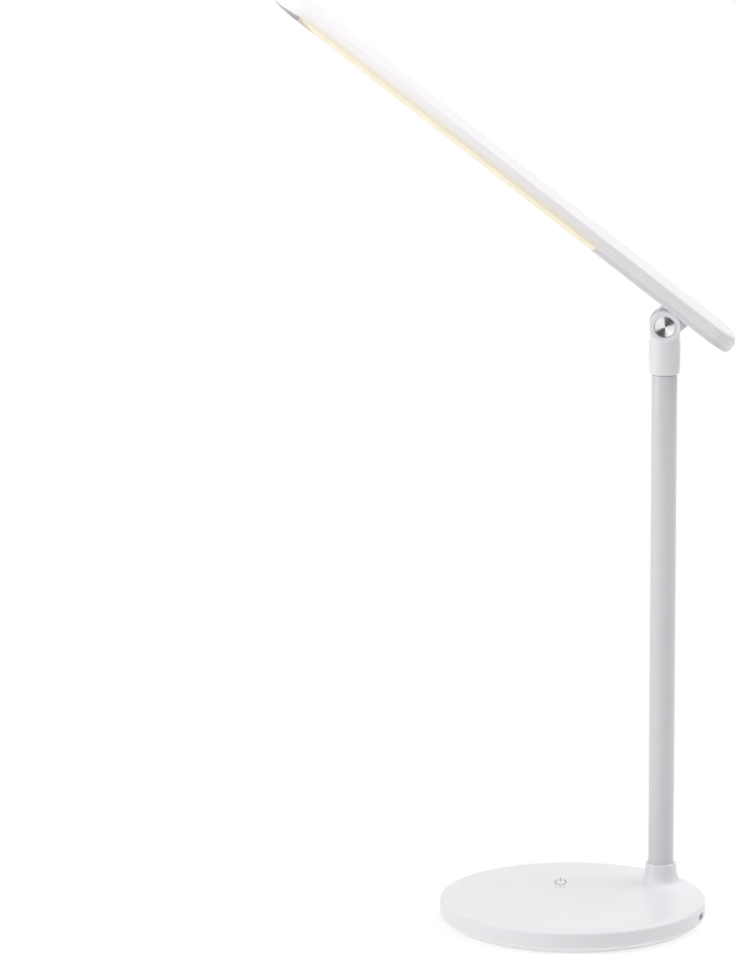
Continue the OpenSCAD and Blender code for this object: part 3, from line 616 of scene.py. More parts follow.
# Opal acrylic diffuser, lit from behind: almost all that the eye sees of it is its warm, even glow.
OPAL = TrayFinish("acrylic_opal_lit", "#A8A08C", "#A39B87", (0.30, 0.40), depth_mm=0.004,
                 light="#FEF7E3", strength=(0.585, 0.615))
# Phosphor of the lamp chips.
PHOSPHOR = LitFinish("phosphor_yellow_lit", "#FFE68A", "#FFDD70", (0.40, 0.55), grain_mm=0.5, mottle_mm=1.5,
                     light="#FFE9B0", strength=(1.0, 1.4), pitch_mm=2.0)


class Dresser:
    """Builds each finish once and puts it on pieces and on the solids that stay."""

    def __init__(self) -> None:
        """Starts with no finish made."""
        self.made: dict[str, bpy.types.Material] = {}

    def material(self, finish: Finish) -> bpy.types.Material:
        """Gives the material of a finish, made on its first use.

        Args:
            finish: the finish.

        Returns:
            Its material, the same one each time.
        """
        if finish.name not in self.made:
            self.made[finish.name] = finish.build()
        return self.made[finish.name]

    def solid(self, node: str, finish: Finish) -> None:
        """Puts a finish on a solid that is shown as it is.

        Args:
            node: name of the solid.
            finish: its finish.
        """
        mesh = frame["nodes"][node].data
        mesh.materials.clear()
        mesh.materials.append(self.material(finish))
        LOG.info("solid %s: %s", node, finish.name)

    def fit(self, made: bpy.types.Object, body: str, slot: str, *finishes: Finish,
            stands_for: str | None = None) -> None:
        """Finishes a new piece and ties it to the body that it moves with.

        Args:
            made: the piece.
            body: body that it rides on.
            slot: material slot of the record; not used.
            finishes: its finishes, in the order of its material numbers.
            stands_for: the solid that it replaces, if any.
        """
        for finish in finishes:
            made.data.materials.append(self.material(finish))
        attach(made, body)
        if stands_for:
            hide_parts(stands_for)
        LOG.info("piece %s on %s: %d faces", made.name, body, len(made.data.polygons))


@dataclass
class StemAxis:
    """Where the stem stands and where the light bar tilts, in millimetres."""

    x: float
    y: float
    pivot_z: float
    tilt: float = math.radians(38.0)

    @classmethod
    def from_frame(cls) -> "StemAxis":
        """Reads the tilt joint's place from the record.

        Returns:
            The axis, with the bar raised as it is at rest.
        """
        joint = next(j for j in frame["joints"] if j["name"] == "head_tilt")
        x, y, z = (v / MM for v in joint["pos_m"])
        return cls(x, y, z)

    def stand(self, points: Array) -> Array:
        """Moves points from the stem's own axis into the part's frame."""
        return points + np.array([self.x, self.y, 0.0])

    def at_pivot(self, points: Array) -> Array:
        """Moves points from the tilt axis into the part's frame, without the tilt."""
        return points + np.array([self.x, self.y, self.pivot_z])

    def at_bar(self, points: Array) -> Array:
        """Moves points of the level light bar to its raised place: a turn about Y, then a shift.

        Args:
            points: points of the level bar, with the tilt axis at zero.

        Returns:
            The points in the part's frame.
        """
        x, y, z = points[..., 0], points[..., 1], points[..., 2]
        c, s = math.cos(self.tilt), math.sin(self.tilt)
        return self.at_pivot(np.stack([c * x + s * z, y, c * z - s * x], axis=-1))


@dataclass
class TouchMark:
    """Printed touch mark on the base, drawn about its own middle."""

    place: tuple[float, float] = (-7.0, 28.0)
    line: float = 0.9
    lift: float = 0.002
    film: float = 0.03
    ring_radius: float = 2.9
    stretch: float = 2.1
    gap_deg: float = 32.0
    bar: tuple[float, float] = (1.4, 8.4)
    dot_radius: float = 0.7
    dot_pitch: float = 2.2
    dot_y: float = -10.6

    def mesh(self, top: float) -> bpy.types.Object:
        """Film of ink: an open ring drawn out to an oval, a bar in its gap, and three dots in front of it.

        Args:
            top: height of the surface that carries it.

        Returns:
            The piece.
        """
        half, low, high = 0.5 * self.line, self.lift, self.film
        gap = math.radians(self.gap_deg)
        section = np.array([(-half, low), (half, low), (half, high), (-half, high), (-half, low)])
        angles = np.linspace(0.5 * math.pi + gap, 2.5 * math.pi - gap, 65)
        ring = turned(section + np.array([self.ring_radius, 0.0]), angles) * np.array([1.0, self.stretch, 1.0])
        bar = drawn_out(section, np.array(self.bar))[..., [1, 0, 2]]
        r = self.dot_radius
        dot = turned(np.array([(0, low), (r, low), (r, high), (0, high)]), full_turn(24))
        dots = [dot + np.array([self.dot_pitch * k, self.dot_y, 0.0]) for k in (-1, 0, 1)]
        place = np.array([*self.place, top])
        parts: list[Part] = [Patch(grid + place) for grid in (ring, bar, *dots)]
        parts += [Lid(end[:-1] + place) for end in (ring[:, 0], ring[:, -1], bar[0], bar[-1])]
        return piece("touch_mark", parts)


@dataclass
class Base:
    """Round weighted base with the collar of the stem, the charging socket and the touch mark.

    The rim, the cover's foot and its roof are pairs of an inset from the wall and a fall or rise. The flare is the
    collar's distance from the stem with its share of the rise.
    """

    axis: StemAxis
    mark: TouchMark = field(default_factory=TouchMark)
    radius: float = 73.0
    top: float = 13.4
    roof: float = 11.4
    seam: float = 4.6
    inner: float = 70.7
    columns: int = 576
    rim: tuple[tuple[float, float], ...] = (
        (14.0, 0.0), (10.0, 0.0), (6.6, 0.0), (3.4, 0.15), (1.8, 0.35), (0.95, 0.6), (0.45, 0.95), (0.15, 1.4),
        (0.0, 2.0), (0.0, 2.7))
    rim_steps: int = 5
    cover_foot: tuple[tuple[float, float], ...] = ((0.0, 0.3), (0.07, 0.12), (0.3, 0.0))
    roof_edge: tuple[tuple[float, float], ...] = ((0.3, 1.0), (1.3, 0.45), (3.7, 0.0), (40.7, 0.0))
    stem_radius: float = 7.0
    stem_gap: float = 0.05
    collar_rise: float = 11.2
    collar_sink: float = 1.4
    collar_edge: float = 0.25
    collar_blend: float = 3.0
    flare: tuple[tuple[float, float], ...] = (
        (6.6, -0.004), (5.5, 0.0), (4.3, 0.05), (3.45, 0.14), (2.7, 0.28), (2.05, 0.48), (1.65, 0.7))
    collar_lip: tuple[tuple[float, float], ...] = ((1.4, -0.5), (1.15, -0.1), (0.9, 0.0))
    floor_low: float = 0.6
    floor_top: float = 3.0
    pad_radius: float = 60.2
    pad_depth: float = 1.2
    foot_run: float = 4.7
    band_inset: float = 0.4
    band_bevel: tuple[float, float] = (0.2, 0.5)
    lip_gap: float = 0.2
    lip_wall: float = 1.2
    lip_rise: float = 2.0
    port_deg: float = -14.0
    port_z: float = 7.3
    port_w: float = 9.24
    port_t: float = 3.56
    port_lip: float = 0.15
    port_mid: float = 1.3
    port_top: float = 9.8
    port_room: float = 10.0
    port_cols: int = 16
    port_rows: int = 8
    socket_w: float = 8.94
    socket_t: float = 3.26
    socket_skin: float = 0.25
    socket_edge: float = 0.1
    socket_sink: float = 1.8
    socket_length: float = 7.3
    socket_floor: float = 1.2
    tongue_w: float = 6.7
    tongue_t: float = 0.7
    tongue_sink: float = 0.8
    tongue_taper: float = 0.15

    def rim_curve(self) -> Array:
        """Rounded rim, from the flat top to the straight wall: a smooth curve through its insets and falls.

        Returns:
            Radius and height, one point a row. The last span only steers the curve and is left out.
        """
        inset = smooth_curve(np.array(self.rim), self.rim_steps)[:-self.rim_steps]
        return np.stack([self.radius - inset[:, 0], self.top - inset[:, 1]], axis=1)

    def wall_rows(self) -> Array:
        """Heights of the wall's rows, from the top of the port's field to the foot."""
        return np.linspace(self.port_top, self.seam + self.cover_foot[0][1], self.port_rows + 1)

    def port_patch(self, start: float) -> Patch:
        """Ring of faces from the wall's grid to the slot, through the wall and out to the inner grid.

        Each row is the field's edge, or the slot where a ray to that edge meets it, bent round the wall's radius.

        Args:
            start: angle of the first column of the wall's grid.

        Returns:
            The patch, whose first and last rows are points of the two walls.
        """
        n, m = self.port_cols, self.port_rows
        one, up, across = np.ones(1), np.linspace(-1, 1, m + 1), np.linspace(-1, 1, n + 1)
        u = np.concatenate([across[:-1], np.repeat(one, m), across[:0:-1], np.repeat(-one, m), -one])
        v = np.concatenate([np.repeat(-one, n), up[:-1], np.repeat(one, n), up[:0:-1], -one])
        rows = self.wall_rows()
        middle, half_h = 0.5 * (rows[0] + rows[-1]), 0.5 * (rows[0] - rows[-1])
        half_turn = 0.5 * n * TURN / self.columns
        edge = np.stack([u * half_turn * self.radius, v * half_h + middle - self.port_z], axis=1)
        bend = np.linspace(0.0, 0.5 * math.pi, 5)
        grow = np.concatenate([self.port_lip * (1 - np.sin(bend)), [0.0, 0.0]])
        depth = np.concatenate([self.port_lip * (1 - np.cos(bend)), [self.port_mid, self.radius - self.inner]])
        half_len = 0.5 * (self.port_w - self.port_t)
        flat = np.stack([edge, *(slot_ray(edge, half_len, 0.5 * self.port_t + g) for g in grow), edge])
        radius = np.concatenate([[self.radius], self.radius - depth, [self.inner]])[:, None]
        angle = start + half_turn + flat[..., 0] / self.radius
        return Patch(np.stack([radius * np.cos(angle), radius * np.sin(angle), flat[..., 1] + self.port_z], axis=-1))

    def cover(self) -> bpy.types.Object:
        """Upper moulding: a profile turned about the middle, with the slot let into its wall.

        Returns:
            The piece, with the collar.
        """
        start = math.radians(self.port_deg) - 0.5 * self.port_cols * TURN / self.columns
        flat_r = np.linspace(0.0, self.radius - self.rim[0][0], 9)[:-1]
        flat = np.stack([flat_r, np.full_like(flat_r, self.top)], axis=1)
        rim, wall_z = self.rim_curve(), self.wall_rows()
        wall = np.stack([np.full_like(wall_z, self.radius), wall_z], axis=1)
        corner = np.array(self.cover_foot) * [-1.0, 1.0] + [self.radius, self.seam]
        foot = smooth_curve(np.vstack([corner, (self.inner, self.seam)]), 3)
        inner = np.stack([np.full_like(wall_z, self.inner), wall_z[::-1]], axis=1)
        roof = np.vstack([np.array([self.inner, self.roof]) - np.array(self.roof_edge), (0.0, self.roof)])
        profile = np.vstack([flat, rim, wall, foot[1:], inner, roof])
        first = len(flat) + len(rim)
        second = first + len(wall) + len(foot) - 1
        keep = np.ones((len(profile) - 1, self.columns), bool)
        keep[first:first + self.port_rows, :self.port_cols] = False
        keep[second:second + self.port_rows, :self.port_cols] = False
        grid = turned(profile, full_turn(self.columns, start))
        return piece("base_cover_shell", [Patch(grid, keep), self.port_patch(start), self.collar()])

    def collar(self) -> Patch:
        """Flared collar: a profile turned about the stem, whose foot falls with the curve of the rim.

        Returns:
            The patch.
        """
        r, z, rise = self.stem_radius, self.top, self.collar_rise
        foot = np.array(self.flare) * [1.0, rise]
        lip = np.array(self.collar_lip) + [0.0, rise]
        flare = smooth_curve(np.vstack([foot, lip]) + [r, z], 4)
        bore, low = r + self.stem_gap, z - self.collar_sink
        inside = np.array([(bore + self.collar_edge, z + rise), (bore, z + rise - self.collar_edge),
                           (bore, low), (r + self.flare[0][0], low)])
        profile = np.vstack([flare, inside, flare[:1]])
        grid = self.axis.stand(turned(profile, full_turn(160)))
        rim = self.rim_curve()
        drop = np.interp(np.hypot(grid[..., 0], grid[..., 1]), rim[:, 0], rim[:, 1]) - self.top
        near = np.clip((self.top + self.collar_blend - grid[..., 2]) / self.collar_blend, 0.0, 1.0)
        grid[..., 2] += drop * near * near * (3.0 - 2.0 * near)
        return Patch(grid)

    def floor(self) -> bpy.types.Object:
        """Lower moulding: a turned tray whose lip is left out behind the charging slot.

        Returns:
            The piece.
        """
        low, seam, pad = self.floor_low, self.seam, self.pad_radius
        band = self.radius - self.band_inset
        out, top = self.inner - self.lip_gap, seam + self.lip_rise
        into = out - self.lip_wall
        profile = eased([
            (0, self.pad_depth, 0), (pad, self.pad_depth, 0.1), (pad, low, 0.2),
            (self.radius - self.foot_run, low, 0.5), (band, seam - self.band_bevel[1], 0.35),
            (band - self.band_bevel[0], seam, 0.1), (out, seam, 0.2), (out, top, 0.3), (into, top, 0.3),
            (into, self.floor_top, 0.4), (0, self.floor_top, 0)], 5)
        angles = full_turn(360)
        grid = turned(profile, angles)
        off = np.abs((angles - math.radians(self.port_deg) + math.pi) % TURN - math.pi) * self.radius
        grid[..., 2] = np.where((off < self.port_room) & (grid[..., 2] > seam), seam, grid[..., 2])
        return piece("base_floor_tray", [Patch(grid)])

    def socket(self) -> bpy.types.Object:
        """Charging socket: a shell of slot section, and a flat contact tongue drawn out from its floor.

        Returns:
            The piece, whose second material is the tongue's.
        """
        front = self.radius - self.socket_sink
        back = front - self.socket_length
        edge, floor = front - self.socket_edge, back + self.socket_floor
        turn = full_turn(56)
        aim = np.stack([2.0 * np.cos(turn), np.sin(turn)], axis=1)
        half_len, radius, skin = 0.5 * (self.socket_w - self.socket_t), 0.5 * self.socket_t, self.socket_skin
        outer, middle, inside = (slot_ray(aim, half_len, radius - d) for d in (0.0, 0.5 * skin, skin))
        rows = [(outer, back), (outer, edge), (middle, front), (inside, edge), (inside, floor)]
        shell = np.stack([np.column_stack([np.full(len(ring), x), ring]) for ring, x in rows])
        w, t, cut = 0.5 * self.tongue_w, 0.5 * self.tongue_t, 0.2
        tongue = eased([(-w, -t, cut), (w, -t, cut), (w, t, cut), (-w, t, cut)], 3)
        end = front - self.tongue_sink
        blade = np.concatenate([drawn_out(tongue, np.array([floor - 0.1, end - self.tongue_taper])),
                                drawn_out(tongue * np.array([0.97, 0.6]), np.array([end]))])
        parts: list[Part] = [Patch(shell), Lid(shell[0, :-1]), Lid(shell[-1, :-1], 1), Patch(blade, material=1),
                             Lid(blade[0, :-1], 1), Lid(blade[-1, :-1], 1)]
        c, s = math.cos(math.radians(self.port_deg)), math.sin(math.radians(self.port_deg))
        spin = np.array([(c, s, 0.0), (-s, c, 0.0), (0.0, 0.0, 1.0)])
        for part in parts:
            part.points = part.points @ spin + np.array([0.0, 0.0, self.port_z])
        return piece("charging_socket", parts)

    def build(self, dresser: Dresser) -> None:
        """Makes the pieces of the base and finishes them and the solids inside.

        Args:
            dresser: puts the finishes on.
        """
        dresser.fit(self.cover(), "base", "base_cover", COVER_ABS, stands_for="base_cover")
        dresser.fit(self.floor(), "base", "base_floor", FLOOR_PP, stands_for="base_floor")
        dresser.fit(self.mark.mesh(self.top), "base", "base_cover", INK)
        dresser.fit(self.socket(), "base", "usb_socket", NICKEL, TONGUE, stands_for="usb_socket")
        for node, finish in {
                "anti_slip_pad": FOAM, "ballast_plate": PLATED, "base_screws": PLATED, "battery_pack": FOIL,
                "control_board": BOARD, "touch_contact": TOUCH_FOAM, "charge_board": BOARD, "board_screws": PLATED,
                "stem_foot": TURNED_STEEL, "foot_screws": PLATED, "stem_grub_screw": BLACK_STEEL}.items():
            dresser.solid(node, finish)


@dataclass
class Stem:
    """Slim drawn tube with the nylon bush that the knuckle turns on."""

    axis: StemAxis
    radius: float = 7.0
    wall: float = 1.0
    low: float = 8.7
    top: float = 299.8

    def tube(self) -> bpy.types.Object:
        """Tube with eased ends: a closed section of the wall, turned about the stem's axis.

        Returns:
            The piece.
        """
        r, b = self.radius, self.radius - self.wall
        heights = np.linspace(self.low, self.top, 13)[1:-1]
        outer = [(r, h, 0.0) for h in heights]
        section = eased([(b, self.low, 0.2), (r, self.low, 0.2), *outer, (r, self.top, 0.25), (b, self.top, 0.2)], 3)
        return piece("stem_drawn_tube", [Patch(self.axis.stand(turned(section, full_turn(128))))])

    def build(self, dresser: Dresser) -> None:
        """Makes the tube and finishes the solids about it.

        Args:
            dresser: puts the finishes on.
        """
        dresser.fit(self.tube(), "base", "stem_tube", STEM_PAINT, stands_for="stem_tube")
        dresser.solid("stem_lead", PVC)
        dresser.solid("swivel_bush", NYLON)


@dataclass
class Knuckle:
    """Swivelling knuckle with its hinge bolt, washers and two bright caps."""

    axis: StemAxis
    cap_radius: float = 5.8
    cap_seat: float = 7.5
    cap_rise: float = 1.6
    cap_land: float = 0.75
    cap_dish: float = 0.3
    ear_round: float = 0.35

    def caps(self) -> bpy.types.Object:
        """Two turned caps: a profile turned about the bolt, with the face dished as a parabola of the radius.

        The texture's coordinates are the radius in millimetres and the share of a turn.

        Returns:
            The piece.
        """
        r, t = self.cap_radius, self.cap_rise
        face = r - self.cap_land
        ring = np.linspace(face, 0.0, 15)
        dish = np.stack([ring, t - self.cap_dish * (1 - (ring / face) ** 2)], axis=1)
        profile = np.vstack([np.array([(0.0, 0.0), (r - 0.1, 0.0), (r, 0.1), (r, t - 0.32), (r - 0.1, t - 0.12),
                                       (r - 0.3, t), (r - 0.6, t)]), dish])
        angles = full_turn(96)
        grid = turned(profile, angles)
        uv = np.stack(np.broadcast_arrays(profile[:, :1], angles[None, :] / TURN), axis=-1)
        pair = [np.stack([grid[..., 0], side * (self.cap_seat + grid[..., 2]), grid[..., 1]], axis=-1)
                for side in (-1, 1)]
        return piece("hinge_turned_caps", [Patch(self.axis.at_pivot(cap), uv=uv) for cap in pair])

    def build(self, dresser: Dresser) -> None:
        """Makes the pieces of the knuckle and finishes the solids inside.

        Args:
            dresser: puts the finishes on.
        """
        dresser.fit(eased_copy("knuckle_moulding", "knuckle", self.ear_round), "neck", "knuckle", COVER_ABS,
                    stands_for="knuckle")
        dresser.fit(self.caps(), "neck", "hinge_caps", CAP_STEEL, stands_for="hinge_caps")
        for node, finish in {"swivel_nut": TURNED_STEEL, "hinge_bolt": TURNED_STEEL, "hinge_nut": PLATED,
                             "spring_washer": TURNED_STEEL, "friction_washers": ACETAL}.items():
            dresser.solid(node, finish)


@dataclass
class LightBar:
    """Long flat light bar: upper shell, covers, lit diffuser, lug and screws, drawn level and then raised.

    Places along the bar and heights are from the tilt axis. The shell meets the covers at the height part, and the lit
    tray ends at lens_joint.
    """

    axis: StemAxis
    half: float = 17.0
    tip_x: float = -259.6
    rear_x: float = 20.4
    rear_radius: float = 16.0
    nose_up: float = 5.4
    nose_low: float = 4.4
    nose_soft: float = 0.25
    under: float = 9.2
    part: float = 11.9
    roof: float = 17.4
    top: float = 19.0
    wall: float = 1.6
    top_round: float = 2.2
    low_round: float = 0.8
    lens_joint: float = -58.5
    lens_slant: float = 1.8
    tongue: float = 15.2
    tongue_rise: float = 1.2
    tray_skin: float = 1.5
    tray_wall: float = 1.3
    tray_gap: float = 0.2
    tip_gap: float = 0.4
    tip_run: float = 15.5
    tip_edge: float = 0.3
    screw_x: tuple[float, float] = (-15.0, 17.0)
    screw_y: float = 8.5
    screw_radius: float = 2.2
    screw_rim: float = 0.12
    shank_radius: float = 1.2
    cross_half: float = 0.36
    cross_reach: float = 1.4
    cross_depth: float = 0.75
    cover_round: float = 0.1
    lug_round: float = 0.3
    flat_inset: float = 10.0
    steps: dict[str, int] = field(default_factory=lambda: {"tip": 28, "side": 72, "corner": 18, "rear": 6})

    def half_outline(self) -> tuple[Array, Array]:
        """Points and outward normals of the outline's +Y half, from the middle of the tip to the middle of the rear.

        Returns:
            Points and normals, one a row.
        """
        n = self.steps
        a = np.linspace(math.pi, 0.5 * math.pi, n["tip"], endpoint=False)
        c = np.linspace(0.5 * math.pi, 0.0, n["corner"], endpoint=False)
        side = np.linspace(self.tip_x, self.rear_x, n["side"], endpoint=False)
        rear = np.linspace(self.half - self.rear_radius, 0.0, n["rear"])
        tip_n = np.stack([np.cos(a), np.sin(a)], axis=1)
        corner_n = np.stack([np.cos(c), np.sin(c)], axis=1)
        points = np.vstack([
            tip_n * self.half + [self.tip_x, 0.0],
            np.stack([side, np.full_like(side, self.half)], axis=1),
            corner_n * self.rear_radius + [self.rear_x, self.half - self.rear_radius],
            np.stack([np.full_like(rear, self.rear_x + self.rear_radius), rear], axis=1)])
        normals = np.vstack([
            tip_n, np.tile([0.0, 1.0], (len(side), 1)), corner_n, np.tile([1.0, 0.0], (len(rear), 1))])
        return points, normals

    def nose(self, points: Array) -> Array:
        """Rear end rounded in side view: x stays behind two arcs that run into the top and the underside.

        Args:
            points: points of the level bar.

        Returns:
            The points, with x eased to the lower of itself and the end at that height.
        """
        x, z = points[..., 0], points[..., 2]
        over = np.clip(z - self.top + self.nose_up, 0.0, self.nose_up)
        below = np.clip(self.under + self.nose_low - z, 0.0, self.nose_low)
        end = (self.rear_x + self.rear_radius - self.nose_up + np.sqrt(self.nose_up ** 2 - over ** 2)
               - self.nose_low + np.sqrt(self.nose_low ** 2 - below ** 2))
        eased_x = 0.5 * (x + end - np.hypot(x - end, self.nose_soft))
        return np.concatenate([eased_x[..., None], points[..., 1:]], axis=-1)

    def tip_drop(self, x: Array) -> Array:
        """How far the shell's lower edge falls at x: evenly over the tip cover, and to the underside before it.

        Args:
            x: places along the level bar.

        Returns:
            The falls, zero behind the tip.
        """
        share = np.clip((self.tip_x - x) / self.tip_run, 0.0, 1.0)
        fall = self.part - self.under - self.tip_edge
        return np.where(x < self.tip_x - self.tip_run, self.part - self.under, share * fall)

    def shell(self) -> bpy.types.Object:
        """Upper shell: the outline, drawn in by the profile's inset at each height, with flat lids above and inside.

        Over the tip cover the lower edge falls, and the wall's rows fall with it in proportion to their height.

        Returns:
            The piece.
        """
        points, normals = self.half_outline()
        mirror = np.array([1.0, -1.0])
        loop = np.vstack([points, (points * mirror)[-2::-1]])
        loop_n = np.vstack([normals, (normals * mirror)[-2::-1]])
        bend = np.linspace(0.0, 0.5 * math.pi, 9)
        crown = np.stack([self.top_round * (1 - np.cos(bend)), self.top - self.top_round * (1 - np.sin(bend))], axis=1)
        w = self.wall
        profile = np.vstack([
            [(self.flat_inset, self.top), (6.0, self.top), (3.6, self.top)], crown[::-1],
            np.stack(np.broadcast_arrays(0.0, np.linspace(self.top - self.top_round, self.part + 0.16, 9)[1:]), axis=1),
            [(0.02, self.part + 0.06), (0.08, self.part + 0.01), (0.16, self.part), (w, self.part),
             (w, self.roof - 0.8), (w + 0.25, self.roof - 0.25), (w + 0.8, self.roof), (self.flat_inset, self.roof)]])
        flat = loop[None] - profile[:, :1, None] * loop_n[None]
        wall_top = self.top - self.top_round
        share = np.clip((wall_top - profile[:, 1:]) / (wall_top - self.part), 0.0, 1.0)
        share[-4:] = 0.0
        height = profile[:, 1:] - share * self.tip_drop(flat[..., 0])
        grid = np.concatenate([flat, height[..., None]], axis=-1)
        across = np.linspace(1.0, -1.0, 9)
        inner = points - self.flat_inset * normals
        lids = [np.stack(np.broadcast_arrays(inner[:, :1], inner[:, 1:] * across, np.full((1, 9), z)), axis=-1)
                for z in (self.top, self.roof)]
        level = [self.nose(g) for g in (grid, *lids)]
        return piece("light_bar_shell", [Patch(self.axis.at_bar(g), uv=g[..., [0, 2]]) for g in level])

    def diffuser(self) -> bpy.types.Object:
        """Milky tray: a U section drawn out along the bar, with its rear end cut on a slant.

        Returns:
            The piece, with the place along the bar and the height as its texture's coordinates.
        """
        y, t, high = self.half, self.tongue, self.part + self.tongue_rise
        side = [(y, self.under, self.low_round), (y, self.part, 0.25), (t, self.part, 0.0), (t, high, 0.2),
                (t - self.tray_wall, high, 0.2), (t - self.tray_wall, self.under + self.tray_skin, 0.4)]
        section = eased([*side, *((-a, b, c) for a, b, c in reversed(side))], 5)
        rise = np.clip((section[:, 1] - self.under + 1.0) / (self.part - self.under + 1.0), 0.0, 1.0)
        rear = self.lens_joint - self.tray_gap + self.lens_slant * rise
        share = np.linspace(0.0, 1.0, 41)[:, None]
        grid = drawn_out(section, self.tip_x * (1 - share) + rear * share)
        placed = self.axis.at_bar(grid)
        return piece("diffuser_tray", [
            Patch(placed, uv=grid[..., [0, 2]]), Lid(placed[0, :-1]), Lid(placed[-1, :-1])])

    def tip(self) -> bpy.types.Object:
        """Small cover under the round tip: a profile turned through half a turn, whose wall gets lower to the front.

        Returns:
            The piece.
        """
        r, t, high = self.half, self.tongue - self.tip_gap, self.part + self.tongue_rise
        profile = eased([(0, self.under, 0), (r, self.under, self.low_round), (r, self.part, 0.25), (t, self.part, 0),
                         (t, high, 0.2), (0, high, 0)], 5)
        grid = turned(profile, np.linspace(0.5 * math.pi, 1.5 * math.pi, 57)) + np.array([self.tip_x, 0.0, 0.0])
        grid[..., 0] = np.maximum(grid[..., 0], self.tip_x - self.tip_run)
        low = np.clip(grid[..., 2] - self.under, 0.0, self.part - self.under) / (self.part - self.under)
        grid[..., 2] -= np.where(grid[..., 2] > self.part + 0.01, 0.0, low * self.tip_drop(grid[..., 0]))
        face = np.vstack([grid[:-1, 0], grid[-2::-1, -1]])
        face = face[np.concatenate([[True], np.linalg.norm(np.diff(face, axis=0), axis=1) > 1e-6])]
        return piece("bar_tip_cover", [Patch(self.axis.at_bar(grid)), Lid(self.axis.at_bar(face))])

    def screws(self) -> bpy.types.Object:
        """Four countersunk screws; the face of each sinks by a cross-shaped mask of two narrow bars.

        Returns:
            The piece.
        """
        angles = full_turn(96)
        r, face, shank, end = self.screw_radius, self.screw_radius - self.screw_rim, self.shank_radius, self.roof - 0.6
        rings = np.linspace(0.0, face, 23)
        grid = turned(np.stack([rings, np.zeros_like(rings)], axis=1), angles)
        away = np.abs(grid[..., :2])
        narrow = np.clip((self.cross_half - away) / 0.1, 0, 1)
        reach = np.clip((self.cross_reach - away) / 0.15, 0, 1)
        grid[..., 2] = self.under + self.cross_depth * np.max(narrow * reach[..., ::-1], axis=-1)
        body = turned(np.array([(face, self.under), (r, self.under + 0.1), (shank, self.under + 1.1), (shank, end),
                                (0.0, end)]), angles)
        shifts = [np.array([x, side * self.screw_y, 0.0]) for x in self.screw_x for side in (-1, 1)]
        return piece("lug_countersunk_screws",
                     [Patch(self.axis.at_bar(g + shift)) for shift in shifts for g in (grid, body)])

    def build(self, dresser: Dresser) -> None:
        """Makes the pieces of the light bar and finishes the solids inside.

        Args:
            dresser: puts the finishes on.
        """
        dresser.fit(self.shell(), "head", "head_shell", SHELL_ABS, stands_for="head_shell")
        dresser.fit(self.diffuser(), "head", "diffuser", OPAL, stands_for="diffuser")
        dresser.fit(self.tip(), "head", "tip_cover", TIP_ABS, stands_for="tip_cover")
        dresser.fit(eased_copy("bar_under_cover", "under_cover", self.cover_round), "head", "under_cover", BAR_ABS,
                    stands_for="under_cover")
        dresser.fit(eased_copy("hinge_lug_casting", "hinge_lug", self.lug_round), "head", "hinge_lug", LUG_PAINT,
                    stands_for="hinge_lug")
        dresser.fit(self.screws(), "head", "lug_screws", PLATED, stands_for="lug_screws")
        for node, finish in {"led_board": WHITE_BOARD, "led_chips": PHOSPHOR, "head_lead": PVC}.items():
            dresser.solid(node, finish)


@dataclass
class SoftBox:
    """One soft studio light: where it stands, its size in metres and its power in watts."""

    name: str
    place: tuple[float, float, float]
    size: tuple[float, float]
    power: float


